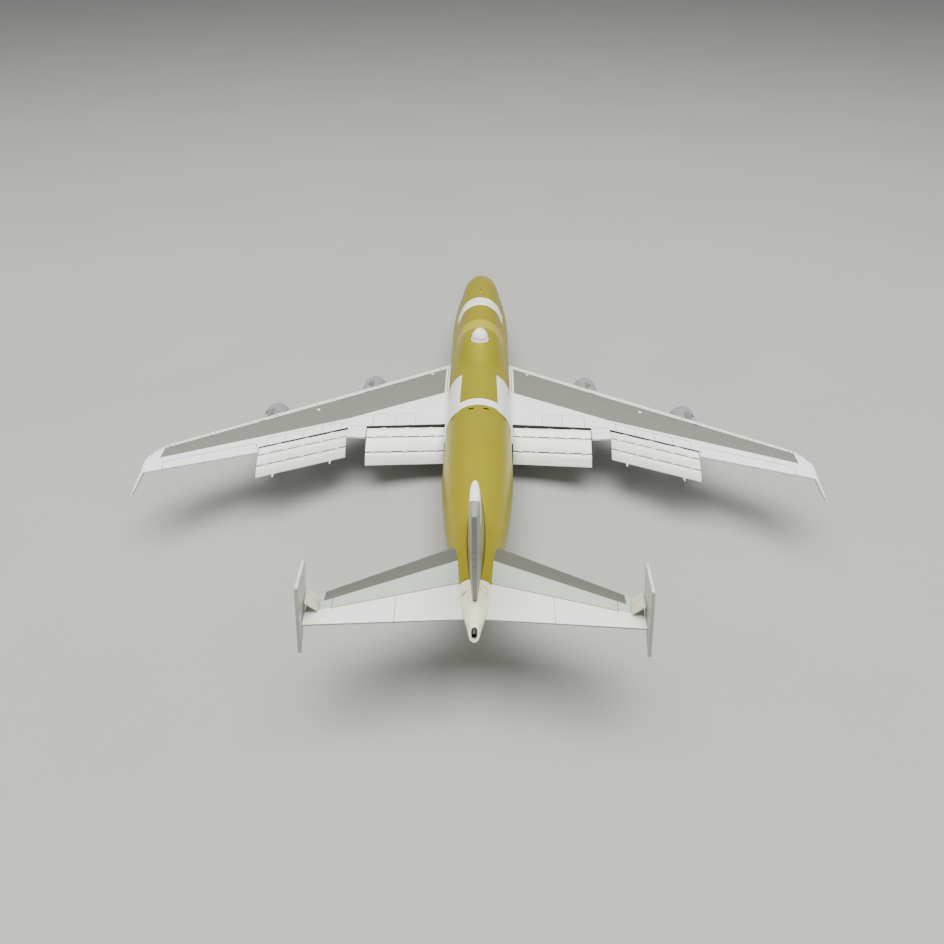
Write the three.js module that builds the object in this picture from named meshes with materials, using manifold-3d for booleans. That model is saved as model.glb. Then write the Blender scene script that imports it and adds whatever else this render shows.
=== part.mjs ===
// Desktop model of a wide-body airliner with four engines and its flaps down, at 1:200.
// Millimetres, +Z up, +Y towards the nose, +X towards the right wing. The origin is on the ground,
// under the middle of the model's box. A station is a distance aft of the nose tip, and a side is 1
// on the right and -1 on the left.

import * as THREE from 'three';
import { ParametricGeometry } from 'three/addons/geometries/ParametricGeometry.js';
import { mergeVertices } from 'three/addons/utils/BufferGeometryUtils.js';
import Module from 'manifold-3d';

const wasm = await Module();
wasm.setup();

const { clamp, lerp, smoothstep, degToRad } = THREE.MathUtils;

// ---------------------------------------------------------------- fits
const seam = 0.3; // gap between pieces that are glued, plugged or screwed together
const running = 0.3; // gap around an axle, a pin or a fan that turns

// ---------------------------------------------------------------- fuselage
const fuselageLength = 342.2;
const fuselageRadius = 16.1;
const axisHeight = 27; // of the lower lobe, over the ground
const wall = 1.6;
const noseLength = 86;
const noseLift = 1.3; // of the nose tip over the axis
const deckRadius = 11.5; // upper lobe, over the flight deck
const deckLift = 10.3; // of its middle over the axis
const deckNoseLength = 55;
const deckFlankLength = 77; // over which the upper lobe grows to its full width
const deckFlankPower = 1.3;
const deckEnd = 122;
const deckFade = 34; // length over which the upper lobe sinks away
const deckDrop = 6.3;
const tailLength = 112.2;
const tailTipRadius = 1.5;
const tailTipHeight = axisHeight + 14.4;
const tailConeLength = 28.2;
const hollowFront = 74;
const hollowRearGap = 62; // from the hollow's end to the tail end
const fuselageSides = 32;
const noseStart = 0.4; // station of the small flat at the very front
const deckSettle = 20; // length over which the upper lobe's rear end is drawn more finely

// A station, from a distance ahead of the tail end.
const fromTail = (distance) => fuselageLength - distance;

// ---------------------------------------------------------------- wing
const wingRootX = fuselageRadius + 0.9;
const wingKinkX = 64;
const wingTipX = 147.4;
const wingRootHeight = axisHeight - 6.2;
const wingDihedral = 7;
const wingRootLead = 108; // stations of the leading and trailing edges
const wingTipLead = 220.8;
const wingRootTrail = 189.5;
const wingKinkTrail = 193.6;
const wingTipTrail = 240.6;
const wingRootThickness = 9.5;
const wingKinkThickness = 5.2;
const wingTipThickness = 2.6;
const wingEdge = 0.8; // thickness of the trailing edge
const wingUpperShare = 0.42; // of the thickness, above the chord plane
const wingBury = 8; // of the wing's outline inside the fuselage, before it is trimmed
const tongueFront = wingRootLead + 14;
const tongueRear = wingRootLead + 52;
const tongueBury = 3; // how far a tongue runs on into its own piece
const tongueSlotX = 8; // the tongues' slot in the shell starts here; the middle is open already
const tongueHeight = 4;
const tongueDrop = 1.5; // of the tongue's middle below the chord plane at the root

// ---------------------------------------------------------------- tip blades
const bladeRootChord = 14;
const bladeTipChord = 5;
const bladeReach = new THREE.Vector3(3.6, -9, -6.8); // from its root to its tip, at the trailing edge
const bladeRootThickness = 2.2;
const bladeTipThickness = 1.2;

// ---------------------------------------------------------------- flaps
const innerFlap = {
  name: 'flap_inboard',
  fromX: wingRootX + 0.4,
  toX: wingKinkX - 8.4,
  fromAhead: 14.7, // of the wing's trailing edge, at the inner end
  toAhead: 9,
  chords: [5.8, 8.2, 6.2],
  droops: [20, 32, 50],
  bridges: 5,
  tracks: [],
};
const outerFlap = {
  name: 'flap_outboard',
  fromX: wingKinkX + 0.9,
  toX: wingTipX - 44.8,
  fromAhead: 7.1,
  toAhead: 3.75,
  chords: [4.6, 5.9, 5.2],
  droops: [16, 27, 38],
  bridges: 5,
  tracks: [0.18, 0.82],
};
const flapThickness = 1.5;
const flapSlot = 0.45; // between two flap elements
const bridgeWidth = 1.6;
const trackWidth = 1.4;
const trackOverhang = 1.6;
const tabWidth = 3;
const tabDepth = 2;
const tabSkin = 0.55; // wing metal left above and below a flap tab

// ---------------------------------------------------------------- tail
const finRootLead = fromTail(85.2);
const finTipLead = fromTail(14.9);
const finRootTrail = fromTail(19.2);
const finOverhang = 4.3; // of the fin tip behind the tail end
const finRootHeight = axisHeight + 9;
const finTipHeight = axisHeight + 69.5;
const finRootThickness = 6.2;
const finTipThickness = 2.6;
const finEdge = 1.6;
const finTongue = { front: fromTail(54.2), rear: fromTail(34.2), foot: axisHeight + 8, thickness: 2 };
const finGrooveFoot = axisHeight + 15; // of the groove for the fin in the tail cone
const tailplaneRootX = 2;
const tailplaneTipX = 58.2;
const tailplaneHeight = axisHeight + 9.9; // of the chord plane at the root
const tailplaneDihedral = 9;
const tailplaneRootLead = fromTail(56.6);
const tailplaneTipLead = fromTail(13.8);
const tailplaneRootTrail = fromTail(13.3);
const tailplaneTipTrail = fromTail(0.6);
const tailplaneRootThickness = 5.2;
const tailplaneTipThickness = 2;
const tailplaneEdge = 0.7;
const tailTongue = { front: fromTail(44.2), rear: fromTail(35.2), height: 2, reach: 5 };
const endplateThickness = 1.2;
const endplateLean = 4;
const endplateTop = axisHeight + 37;
const endplateFoot = axisHeight + 7;
const endplateTrail = fuselageLength + 1;
const braceThickness = 0.9;
const braceChord = 7.4;
const braceRun = 3.4; // inward from the end plate
const braceRise = 5.4;
const braceSweep = 1.9; // aft, from the tailplane up to the end plate

// ---------------------------------------------------------------- dome on the crown
const domeStation = 124.8;
const domeLength = 14.2;
const domeWidth = 9.4;
const domeHeight = 4.4;
const domeTaper = 0.25; // share of its width lost towards the front
const domeSink = 0.4; // of its middle below the crown
const domePeg = { radius: 1.5, depth: 3 };
const pegBury = 1; // how far a peg or a spigot runs on into its own piece

// ---------------------------------------------------------------- belly fairing
const bellyFront = wingRootLead - 16;
const bellyRear = wingRootTrail + 24.5;
const bellyHalfWidth = fuselageRadius + 0.5;
const bellyMiddle = axisHeight - 9;
const bellyFoot = axisHeight - fuselageRadius - 1.5;
const bellyRise = 3; // of its top edge over its middle
const bellyEndWidth = 0.6; // share of its width and depth left at its ends
const bellyEndDepth = 0.55;
const bellyFloor = 2; // least metal under the block that fills the bay
const bayFront = wingRootLead - 4;
const bayRear = wingRootTrail + 8.5;
const bayHalfWidth = fuselageRadius - 6.1;
const postRadius = 3.2;
const screwInset = 8; // from the ends of the bay
const screwStations = [bayFront + screwInset, bayRear - screwInset];
const screwRadius = 1.1;
const screwHeadRadius = 2.1;
const screwHeadHeight = 1.2;
const screwBite = 6; // length of thread in the post
const screwRecess = 1; // of the head above the lowest point of the belly
const seatStation = wingRootLead + 39;
const seatRadius = 7;
const seatProud = 0.8; // of the seat below the belly
const seatThickness = 3;
const seatHole = { radius: 2, depth: 3.5 };

// ---------------------------------------------------------------- engines
const engines = [
  { number: 1, side: -1, x: wingTipX - 41.8 },
  { number: 2, side: -1, x: wingKinkX - 5 },
  { number: 3, side: 1, x: wingKinkX - 5 },
  { number: 4, side: 1, x: wingTipX - 41.8 },
];
const engineAhead = 26.7; // of the inlet lip, before the wing's leading edge
const engineDrop = 13; // of the engine's axis, below the wing's chord plane
const nacelleRadius = 6.8;
const nacelleLength = 28;
const nacelleExitRadius = 5.6;
const ductRadius = 5.1;
const fanSetback = 6; // from the inlet lip to the fan's middle
const fanHubRadius = 1.7;
const fanBlades = 10;
const spinnerLength = 3.6;
const corePinRadius = 0.6;
const coreRadius = 3.5;
const nozzleRadius = 2.7;
const coreEnd = 37; // from the inlet lip to the nozzle
const plugEnd = 41;
const strutCount = 4;
const pylonThickness = 1.8;

// ---------------------------------------------------------------- landing gear
const wheelRadius = 3.1;
const wheelWidth = 1.6;
const tyreShoulder = 0.4;
const axleRadius = 0.6;
const beamWidth = 1.6;
const cheekWidth = 0.8;
const bogieWheelbase = 7.4;
const gears = [
  { name: 'wing_gear', x: wingRootX + 10.5, station: wingRootLead + 51, socketDepth: 3 },
  { name: 'body_gear', x: bellyHalfWidth - 7.1, station: wingRootTrail - 15, socketDepth: 3 },
];
const strutRadius = 1.3;
const forkHeight = 6.4; // underside of the fork's head
const noseGearStation = 38.5;
const noseStrutRadius = 1.1;
const noseSocketDepth = 6;

// ---------------------------------------------------------------- places
const overallLength = fuselageLength + finOverhang;
const noseTipY = overallLength / 2;
const tailConeStation = fuselageLength - tailConeLength;
const at = (x, station, z) => new THREE.Vector3(x, noseTipY - station, z);
const cutReach = 60; // length of a cut that runs clear of everything

// ---------------------------------------------------------------- materials
const paint = (color, roughness, metalness) =>
  new THREE.MeshStandardMaterial({ color, roughness, metalness });
const goldPaint = () => paint(0xb4a43c, 0.32, 0.55);
const whitePaint = () => paint(0xe4e9e0, 0.35, 0);
const creamPaint = () => paint(0xddd8bc, 0.4, 0);
const greyPaint = () => paint(0x9a9d9c, 0.4, 0.1);
const bareMetal = () => paint(0x8c8c8a, 0.3, 0.9);
const darkMetal = () => paint(0x55524d, 0.4, 0.8);
const gearSilver = () => paint(0xa8a9a6, 0.4, 0.6);
const tyreRubber = () => paint(0x1d1c1b, 0.8, 0);

// ---------------------------------------------------------------- solids
// Welds a three.js geometry, drops collapsed triangles, turns its faces outward, and hands it on as a
// solid that can be joined and cut.
function solid(source) {
  const bare = source.clone();
  bare.deleteAttribute('normal');
  bare.deleteAttribute('uv');
  const welded = mergeVertices(bare, 1e-4);
  const places = welded.getAttribute('position');
  const index = welded.getIndex().array;
  const triangles = [];
  let volume = 0;
  for (let i = 0; i < index.length; i += 3) {
    const [a, b, c] = index.slice(i, i + 3);
    if (a === b || b === c || c === a) continue;
    triangles.push(a, b, c);
    const [p, q, r] = [a, b, c].map((n) => new THREE.Vector3().fromBufferAttribute(places, n));
    volume += p.dot(q.cross(r));
  }
  if (volume < 0) triangles.reverse();
  const vertProperties = new Float32Array(places.array);
  const triVerts = new Uint32Array(triangles);
  return new wasm.Manifold(new wasm.Mesh({ numProp: 3, vertProperties, triVerts }));
}

// Turns a solid back into a named mesh.
function piece(name, body, material) {
  const { vertProperties, triVerts } = body.getMesh();
  const geometry = new THREE.BufferGeometry();
  geometry.setAttribute('position', new THREE.BufferAttribute(vertProperties, 3));
  geometry.setIndex(new THREE.BufferAttribute(triVerts, 1));
  geometry.computeVertexNormals();
  const mesh = new THREE.Mesh(geometry, material);
  mesh.name = name;
  return mesh;
}

// A closed skin through a row of rings. Each ring is a function from a turn, 0 to 1, to a point.
function skin(rings, sides) {
  const last = rings.length - 1;
  const surface = (u, v, target) => target.copy(rings[Math.round(v * last)](u % 1));
  return solid(new ParametricGeometry(surface, sides, last));
}

// A ring drawn together into one point, which closes the end of a skin.
const pole = (ring, sides) => {
  const middle = new THREE.Vector3();
  for (let i = 0; i < sides; i += 1) middle.addScaledVector(ring(i / sides), 1 / sides);
  return () => middle;
};

// A skin whose first and last rings are closed by flat ends.
const closedSkin = (rings, sides) =>
  skin([pole(rings[0], sides), ...rings, pole(rings[rings.length - 1], sides)], sides);

function block(fromX, toX, fromStation, toStation, fromZ, toZ) {
  const box = new THREE.BoxGeometry(Math.abs(toX - fromX), toStation - fromStation, toZ - fromZ);
  const middle = at((fromX + toX) / 2, (fromStation + toStation) / 2, (fromZ + toZ) / 2);
  return solid(box.translate(middle.x, middle.y, middle.z));
}

// A round bar along X, Y or Z, centred on a point.
function bar(axis, radius, length, centre, sides = 16) {
  const cylinder = new THREE.CylinderGeometry(radius, radius, length, sides);
  if (axis === 'x') cylinder.rotateZ(Math.PI / 2);
  if (axis === 'z') cylinder.rotateX(Math.PI / 2);
  return solid(cylinder.translate(centre.x, centre.y, centre.z));
}

// A turned body about the Y axis. Its profile lists radius and distance towards the nose.
function turned(profile, sides) {
  return solid(new THREE.LatheGeometry(profile.map(([r, y]) => new THREE.Vector2(r, y)), sides));
}

// A flat plate, drawn as X and Y of a Shape and given its thickness along Z, then placed by a matrix.
function plate(outline, thickness, placing) {
  const shape = new THREE.Shape(outline);
  const geometry = new THREE.ExtrudeGeometry(shape, { depth: thickness, bevelEnabled: false });
  return solid(geometry.translate(0, 0, -thickness / 2).applyMatrix4(placing));
}

const moved = (body, offset) => body.translate([offset.x, offset.y, offset.z]);

// ---------------------------------------------------------------- fuselage lines
// Rises from 0 to 1 over its length as a quarter of an ellipse does. A higher power is less blunt.
const swell = (share, power) => (1 - (1 - clamp(share, 0, 1)) ** 2) ** (power / 2);

function fuselageLines(station) {
  const nose = (power) => swell(station / noseLength, power);
  const deckNose = (power) => swell(station / deckNoseLength, power);
  const tail = clamp((station - fuselageLength + tailLength) / tailLength, 0, 1);
  const tip = axisHeight + noseLift;
  const sink = deckDrop * smoothstep(station, deckEnd, deckEnd + deckFade);
  const crown = lerp(tip, axisHeight + fuselageRadius, nose(0.95));
  const keel = lerp(tip, axisHeight - fuselageRadius, nose(1.25));
  const top = lerp(crown, tailTipHeight + tailTipRadius, tail ** 2);
  const bottom = lerp(keel, tailTipHeight - tailTipRadius, tail ** 1.35);
  const deckCentre = lerp(tip, axisHeight + deckLift, deckNose(2.1)) - sink;
  const deckTop = lerp(tip, axisHeight + deckLift + deckRadius, deckNose(2.8)) - sink;
  return {
    halfWidth: lerp(fuselageRadius * nose(1.3), tailTipRadius, tail ** 1.6),
    halfHeight: (top - bottom) / 2,
    centre: (top + bottom) / 2,
    deckHalfWidth: deckRadius * swell(station / deckFlankLength, deckFlankPower),
    deckHalfHeight: deckTop - deckCentre,
    deckCentre,
    hasDeck: station < deckEnd + deckFade,
    crown: Math.max(top, tail > 0 ? 0 : deckTop),
  };
}

// Distance from (0, 0) along a direction to the far side of an ellipse centred at (0, lift).
function ellipseReach(dx, dz, halfWidth, halfHeight, lift) {
  const a = (dx / halfWidth) ** 2 + (dz / halfHeight) ** 2;
  const b = (dz * lift) / halfHeight ** 2;
  const c = (lift / halfHeight) ** 2 - 1;
  const root = b * b - a * c;
  return root > 0 ? (b + Math.sqrt(root)) / a : 0;
}

// The fuselage's outline at a station, grown or shrunk by an offset.
function fuselageRing(station, offset = 0) {
  const line = fuselageLines(station);
  return (turn) => {
    const dx = Math.sin(turn * 2 * Math.PI);
    const dz = -Math.cos(turn * 2 * Math.PI);
    const main = ellipseReach(dx, dz, line.halfWidth, line.halfHeight, 0);
    const lift = line.deckCentre - line.centre;
    const deck = line.hasDeck ? ellipseReach(dx, dz, line.deckHalfWidth, line.deckHalfHeight, lift) : 0;
    const reach = Math.max(main, deck) + offset;
    return at(dx * reach, station, line.centre + dz * reach);
  };
}

// Stations between two ends: close together at the nose, and then wherever the outline changes.
function fuselageStations(from, to) {
  const noseSteps = 9;
  const tailSteps = 9;
  const all = [deckEnd - deckSettle, deckEnd, fuselageLength - tailLength];
  for (let i = 1; i <= noseSteps; i += 1) {
    all.push(noseLength * (1 - Math.cos((i / noseSteps) * (Math.PI / 2))));
  }
  for (let i = 1; i <= 3; i += 1) all.push(deckEnd + (deckFade * i) / 3);
  for (let i = 1; i < tailSteps; i += 1) all.push(fuselageLength - tailLength * (1 - i / tailSteps));
  const inside = all.filter((station) => station > from + seam && station < to - seam);
  return [from, ...inside.sort((a, b) => a - b), to];
}

function fuselageBody(from, to, offset = 0) {
  const rings = fuselageStations(from, to).map((station) => fuselageRing(station, offset));
  return closedSkin(rings, fuselageSides);
}

// Everything within the fuselage and tail cone, grown by the seam, to trim what sits against them.
const fuselageTrim = fuselageBody(noseStart, fuselageLength, seam);

// ---------------------------------------------------------------- aerofoils
const wingSteps = 8; // points along each face of a wing's or a tail surface's section
const flapSteps = 4; // the same for the small pieces
const foilSides = (steps) => 2 * steps + 1;

// An aerofoil's ring from its leading and trailing edge points. The up vector is the unit normal of
// its chord plane, the edge is the trailing edge's thickness, and the upper share is what lies above.
function foilRing(lead, trail, up, thickness, edge, steps = wingSteps, upperShare = 0.5) {
  return (turn) => {
    const step = Math.round(turn * foilSides(steps));
    const upper = step <= steps;
    const angle = (Math.PI * (upper ? step : step - 1)) / steps;
    const chord = (1 + Math.cos(angle)) / 2;
    const bulge = 2.6 * Math.sqrt(chord) * (1 - chord) * thickness + chord * edge;
    const height = bulge * (upper ? upperShare : upperShare - 1);
    return lead.clone().lerp(trail, chord).addScaledVector(up, height);
  };
}

const wingSlope = Math.tan(degToRad(wingDihedral));
const wingHeight = (x) => wingRootHeight + wingSlope * (x - wingRootX);
const wingLead = (x) => lerp(wingRootLead, wingTipLead, (x - wingRootX) / (wingTipX - wingRootX));

function alongSpan(x, root, kink, tip) {
  if (x < wingKinkX) return lerp(root, kink, (x - wingRootX) / (wingKinkX - wingRootX));
  return lerp(kink, tip, (x - wingKinkX) / (wingTipX - wingKinkX));
}
const wingTrail = (x) => alongSpan(x, wingRootTrail, wingKinkTrail, wingTipTrail);
const wingThickness = (x) => alongSpan(x, wingRootThickness, wingKinkThickness, wingTipThickness);

// The wing's outline, grown by an offset, between two places on the span.
function wingBody(side, fromX, toX, offset = 0) {
  const up = new THREE.Vector3(-side * Math.sin(degToRad(wingDihedral)), 0, Math.cos(degToRad(wingDihedral)));
  const places = [fromX, wingKinkX, toX].filter((x, i) => i !== 1 || (x > fromX && x < toX));
  const rings = places.map((x) => {
    const lead = at(side * x, wingLead(x) - offset, wingHeight(x));
    const trail = at(side * x, wingTrail(x) + offset, wingHeight(x));
    const thickness = wingThickness(x) + 2 * offset;
    return foilRing(lead, trail, up, thickness, wingEdge + 2 * offset, wingSteps, wingUpperShare);
  });
  return closedSkin(rings, foilSides(wingSteps));
}

// ---------------------------------------------------------------- flaps
// Station and height of the flap's front line at a place on the span.
function flapFront(flap, x) {
  const share = (x - flap.fromX) / (flap.toX - flap.fromX);
  const from = wingTrail(flap.fromX) - flap.fromAhead;
  const to = wingTrail(flap.toX) - flap.toAhead;
  return { station: lerp(from, to, share), height: wingHeight(x) };
}

// Points down the flap's chain of elements, as steps aft and down from its front line.
function flapChain(flap) {
  const chain = [{ aft: seam, down: 0 }];
  flap.chords.forEach((chord, i) => {
    const droop = degToRad(flap.droops[i]);
    const start = chain[chain.length - 1];
    chain.push({ aft: start.aft + chord * Math.cos(droop), down: start.down + chord * Math.sin(droop) });
  });
  return chain;
}

const flapPoint = (flap, side, x, step) => {
  const front = flapFront(flap, x);
  return at(side * x, front.station + step.aft, front.height - step.down);
};

// Wing thickness at a station, from the same formula as the aerofoil ring.
function wingDepth(x, station) {
  const chord = (station - wingLead(x)) / (wingTrail(x) - wingLead(x));
  return 2.6 * Math.sqrt(chord) * (1 - chord) * wingThickness(x) + chord * wingEdge;
}

function flapTabs(flap, side, grow) {
  return [0.2, 0.5, 0.8].map((share) => {
    const x = lerp(flap.fromX, flap.toX, share);
    const front = flapFront(flap, x);
    const metal = wingDepth(x, front.station);
    const middle = front.height + metal * (wingUpperShare - 0.5);
    const half = metal / 2 - tabSkin - seam + grow;
    const from = front.station - tabDepth - grow;
    const to = front.station + seam + flap.chords[0] / 2;
    const reach = tabWidth / 2 + grow;
    return block(side * x - reach, side * x + reach, from, to, middle - half, middle + half);
  });
}

// Short ribs that tie the elements together across their slots.
function flapBridge(flap, side, x) {
  const chain = flapChain(flap);
  const inset = flapThickness / 3;
  const line = chain.map((step) => flapPoint(flap, 1, x, step));
  const outline = [
    ...line.map((point) => new THREE.Vector2(point.y, point.z + inset)),
    ...line.map((point) => new THREE.Vector2(point.y, point.z - inset)).reverse(),
  ];
  outline.forEach((point, i) => {
    const foremost = i === 0 || i === outline.length - 1;
    const aftmost = i === line.length - 1 || i === line.length;
    if (foremost) point.x -= flapThickness;
    if (aftmost) point.x += flapThickness;
  });
  const across = new THREE.Matrix4().makeBasis(
    new THREE.Vector3(0, 1, 0),
    new THREE.Vector3(0, 0, 1),
    new THREE.Vector3(1, 0, 0),
  );
  return plate(outline, bridgeWidth, across.setPosition(side * x, 0, 0));
}

// The tail of a track fairing, hung under the flap and standing out behind it.
function flapTrack(flap, side, share) {
  const x = lerp(flap.fromX, flap.toX, share);
  const chain = flapChain(flap);
  const tail = flapPoint(flap, side, x, chain[chain.length - 1]);
  const start = flapPoint(flap, side, x, chain[1]);
  const out = tail.clone().sub(start).normalize();
  const end = tail.clone().addScaledVector(out, trackOverhang);
  const up = new THREE.Vector3(0, -out.z, out.y).multiplyScalar(-1);
  const drop = up.clone().multiplyScalar(-trackWidth * 0.45);
  const ring = (point, width) => (turn) => {
    const angle = turn * 2 * Math.PI;
    const across = new THREE.Vector3(Math.cos(angle) * width * 0.5, 0, 0);
    return point.clone().add(drop).add(across).addScaledVector(up, Math.sin(angle) * width * 0.5);
  };
  return closedSkin([ring(start, trackWidth), ring(tail, trackWidth), ring(end, trackWidth * 0.5)], 8);
}

function flapPiece(flap, side) {
  const chain = flapChain(flap);
  let body = null;
  flap.chords.forEach((chord, i) => {
    const droop = degToRad(flap.droops[i]);
    const up = new THREE.Vector3(0, Math.sin(droop) * -1, Math.cos(droop));
    const gap = i < flap.chords.length - 1 ? flapSlot : 0;
    const share = (chord - gap) / chord;
    const rings = [flap.fromX, flap.toX].map((x) => {
      const lead = flapPoint(flap, side, x, chain[i]);
      const trail = lead.clone().lerp(flapPoint(flap, side, x, chain[i + 1]), share);
      return foilRing(lead, trail, up, flapThickness, flapThickness / 3, flapSteps);
    });
    const element = closedSkin(rings, foilSides(flapSteps));
    body = body ? body.add(element) : element;
  });
  for (let i = 0; i < flap.bridges; i += 1) {
    const share = (i + 0.5) / flap.bridges;
    body = body.add(flapBridge(flap, side, lerp(flap.fromX, flap.toX, share)));
  }
  flap.tracks.forEach((share) => {
    body = body.add(flapTrack(flap, side, share));
  });
  body = body.subtract(flapTrimmer(flap, side));
  flapTabs(flap, side, 0).forEach((tab) => {
    body = body.add(tab);
  });
  const hand = side > 0 ? 'right' : 'left';
  return piece(`${flap.name}_${hand}`, body, whitePaint());
}

// Everything in front of the flap's front line, so that nothing of a flap reaches into the wing.
function flapTrimmer(flap, side) {
  return flapBay(flap, side, -tabDepth * 4, 0);
}

// The space of a flap behind its front line, between two distances from that line.
function flapBay(flap, side, fromAft, toAft, grow = 0) {
    const corners = [
    [flap.fromX - grow, fromAft],
    [flap.toX + grow, fromAft],
    [flap.toX + grow, toAft],
    [flap.fromX - grow, toAft],
  ];
  const outline = corners.map(([x, aft]) => {
    const point = at(side * x, flapFront(flap, x).station + aft, 0);
    return new THREE.Vector2(point.x, point.y);
  });
  const middle = new THREE.Matrix4().makeTranslation(0, 0, wingHeight(flap.fromX));
  return plate(outline, cutReach, middle);
}

// ---------------------------------------------------------------- wings
const gearSocket = (gear, side, top) =>
  bar('z', strutRadius + seam, 2 * gear.socketDepth, at(side * gear.x, gear.station, top));

const wingUnderside = (x, station) => wingHeight(x) - (1 - wingUpperShare) * wingDepth(x, station);

function tongueBlock(side, grow) {
  const middle = wingRootHeight - tongueDrop;
  const half = tongueHeight / 2 + grow;
  const inner = side * (seam / 2);
  const outer = side * (wingRootX + tongueBury);
  return block(inner, outer, tongueFront - grow, tongueRear + grow, middle - half, middle + half);
}

function wingPiece(side) {
  let body = wingBody(side, wingRootX - wingBury, wingTipX).subtract(fuselageTrim).add(tongueBlock(side, 0));
  for (const flap of [innerFlap, outerFlap]) {
    body = body.subtract(flapBay(flap, side, 0, cutReach, seam));
    flapTabs(flap, side, seam).forEach((pocket) => {
      body = body.subtract(pocket);
    });
  }
  const gear = gears[0];
  body = body.subtract(gearSocket(gear, side, wingUnderside(gear.x, gear.station)));
  return piece(side > 0 ? 'wing_right' : 'wing_left', body, whitePaint());
}

function bladePiece(side) {
  const rootX = wingTipX + seam;
  const trail = at(side * rootX, wingTrail(wingTipX), wingHeight(wingTipX));
  const lead = at(side * rootX, wingTrail(wingTipX) - bladeRootChord, wingHeight(wingTipX));
  const reach = bladeReach.clone().multiply(new THREE.Vector3(side, 1, 1));
  const tipTrail = trail.clone().add(reach);
  const tipLead = tipTrail.clone().add(new THREE.Vector3(0, bladeTipChord, 0));
  const up = new THREE.Vector3().crossVectors(reach, new THREE.Vector3(0, side, 0)).normalize();
  const rings = [
    foilRing(lead, trail, up, bladeRootThickness, bladeRootThickness / 2, flapSteps),
    foilRing(tipLead, tipTrail, up, bladeTipThickness, bladeTipThickness / 2, flapSteps),
  ];
  const tip = wingBody(side, wingTipX - bladeRootChord, wingTipX + seam, seam);
  const body = closedSkin(rings, foilSides(flapSteps)).subtract(tip);
  return piece(side > 0 ? 'winglet_right' : 'winglet_left', body, whitePaint());
}

// ---------------------------------------------------------------- tail surfaces
function finBody(offset = 0) {
  const up = new THREE.Vector3(1, 0, 0);
  const finTipTrail = fuselageLength + finOverhang;
  const rings = [
    [finRootLead, finRootTrail, finRootHeight, finRootThickness],
    [finTipLead, finTipTrail, finTipHeight, finTipThickness],
  ].map(([lead, trail, z, thickness]) =>
    foilRing(at(0, lead - offset, z), at(0, trail, z), up, thickness + 2 * offset, finEdge),
  );
  return closedSkin(rings, foilSides(wingSteps));
}

const finTongueBlock = (grow) => {
  const half = finTongue.thickness / 2 + grow;
  const top = fuselageLines(finTongue.front).crown + tongueBury;
  return block(-half, half, finTongue.front - grow, finTongue.rear + grow, finTongue.foot - grow, top);
};

const finPiece = () => piece('fin', finBody().subtract(fuselageTrim).add(finTongueBlock(0)), goldPaint());

const tailplaneSlope = Math.tan(degToRad(tailplaneDihedral));
const tailplaneZ = (x) => tailplaneHeight + tailplaneSlope * (x - tailplaneRootX);

function tailplaneBody(side) {
  const tilt = degToRad(tailplaneDihedral);
  const up = new THREE.Vector3(-side * Math.sin(tilt), 0, Math.cos(tilt));
  const rings = [
    [tailplaneRootX, tailplaneRootLead, tailplaneRootTrail, tailplaneRootThickness],
    [tailplaneTipX, tailplaneTipLead, tailplaneTipTrail, tailplaneTipThickness],
  ].map(([x, lead, trail, thickness]) =>
    foilRing(
      at(side * x, lead, tailplaneZ(x)),
      at(side * x, trail, tailplaneZ(x)),
      up,
      thickness,
      tailplaneEdge,
    ),
  );
  return closedSkin(rings, foilSides(wingSteps));
}

function tailTongueBlock(side, grow) {
  const { front, rear, height, reach } = tailTongue;
  const outer = fuselageLines(front).halfWidth + tongueBury;
  const inner = fuselageLines(front).halfWidth - reach - grow;
  const middle = tailplaneZ(outer);
  const half = height / 2 + grow;
  return block(side * inner, side * outer, front - grow, rear + grow, middle - half, middle + half);
}

function tailplanePiece(side) {
  const body = tailplaneBody(side).subtract(fuselageTrim).add(tailTongueBlock(side, 0));
  return piece(side > 0 ? 'tailplane_right' : 'tailplane_left', body, whitePaint());
}

// Outline of an end plate, as steps forward of its trailing edge and heights over the ground.
const endplateOutline = [
  [0, endplateTop],
  [14.6, endplateTop],
  [13, axisHeight + 23.5],
  [11, axisHeight + 19.5],
  [7.6, axisHeight + 15.5],
  [0.6, endplateFoot],
  [0, endplateFoot],
].map(([forward, z]) => new THREE.Vector2(forward, z));
const endplateInnerX = tailplaneTipX + seam; // at the tailplane's height

// Places an outline, drawn as distance forward and height, on the leaning plane of an end plate.
function endplatePlacing(side) {
  const lean = degToRad(endplateLean);
  const forward = new THREE.Vector3(0, 1, 0);
  const upward = new THREE.Vector3(-side * Math.sin(lean), 0, Math.cos(lean));
  const outward = new THREE.Vector3().crossVectors(forward, upward);
  const hinge = tailplaneZ(tailplaneTipX);
  const x = side * (endplateInnerX + endplateThickness / 2) + side * Math.sin(lean) * hinge;
  const height = hinge * (1 - Math.cos(lean));
  const origin = new THREE.Vector3(x, noseTipY - endplateTrail, height);
  return new THREE.Matrix4().makeBasis(forward, upward, outward).setPosition(origin);
}

function endplatePiece(side) {
  const body = plate(endplateOutline, endplateThickness, endplatePlacing(side));
  return piece(side > 0 ? 'endplate_right' : 'endplate_left', body, whitePaint());
}

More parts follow.
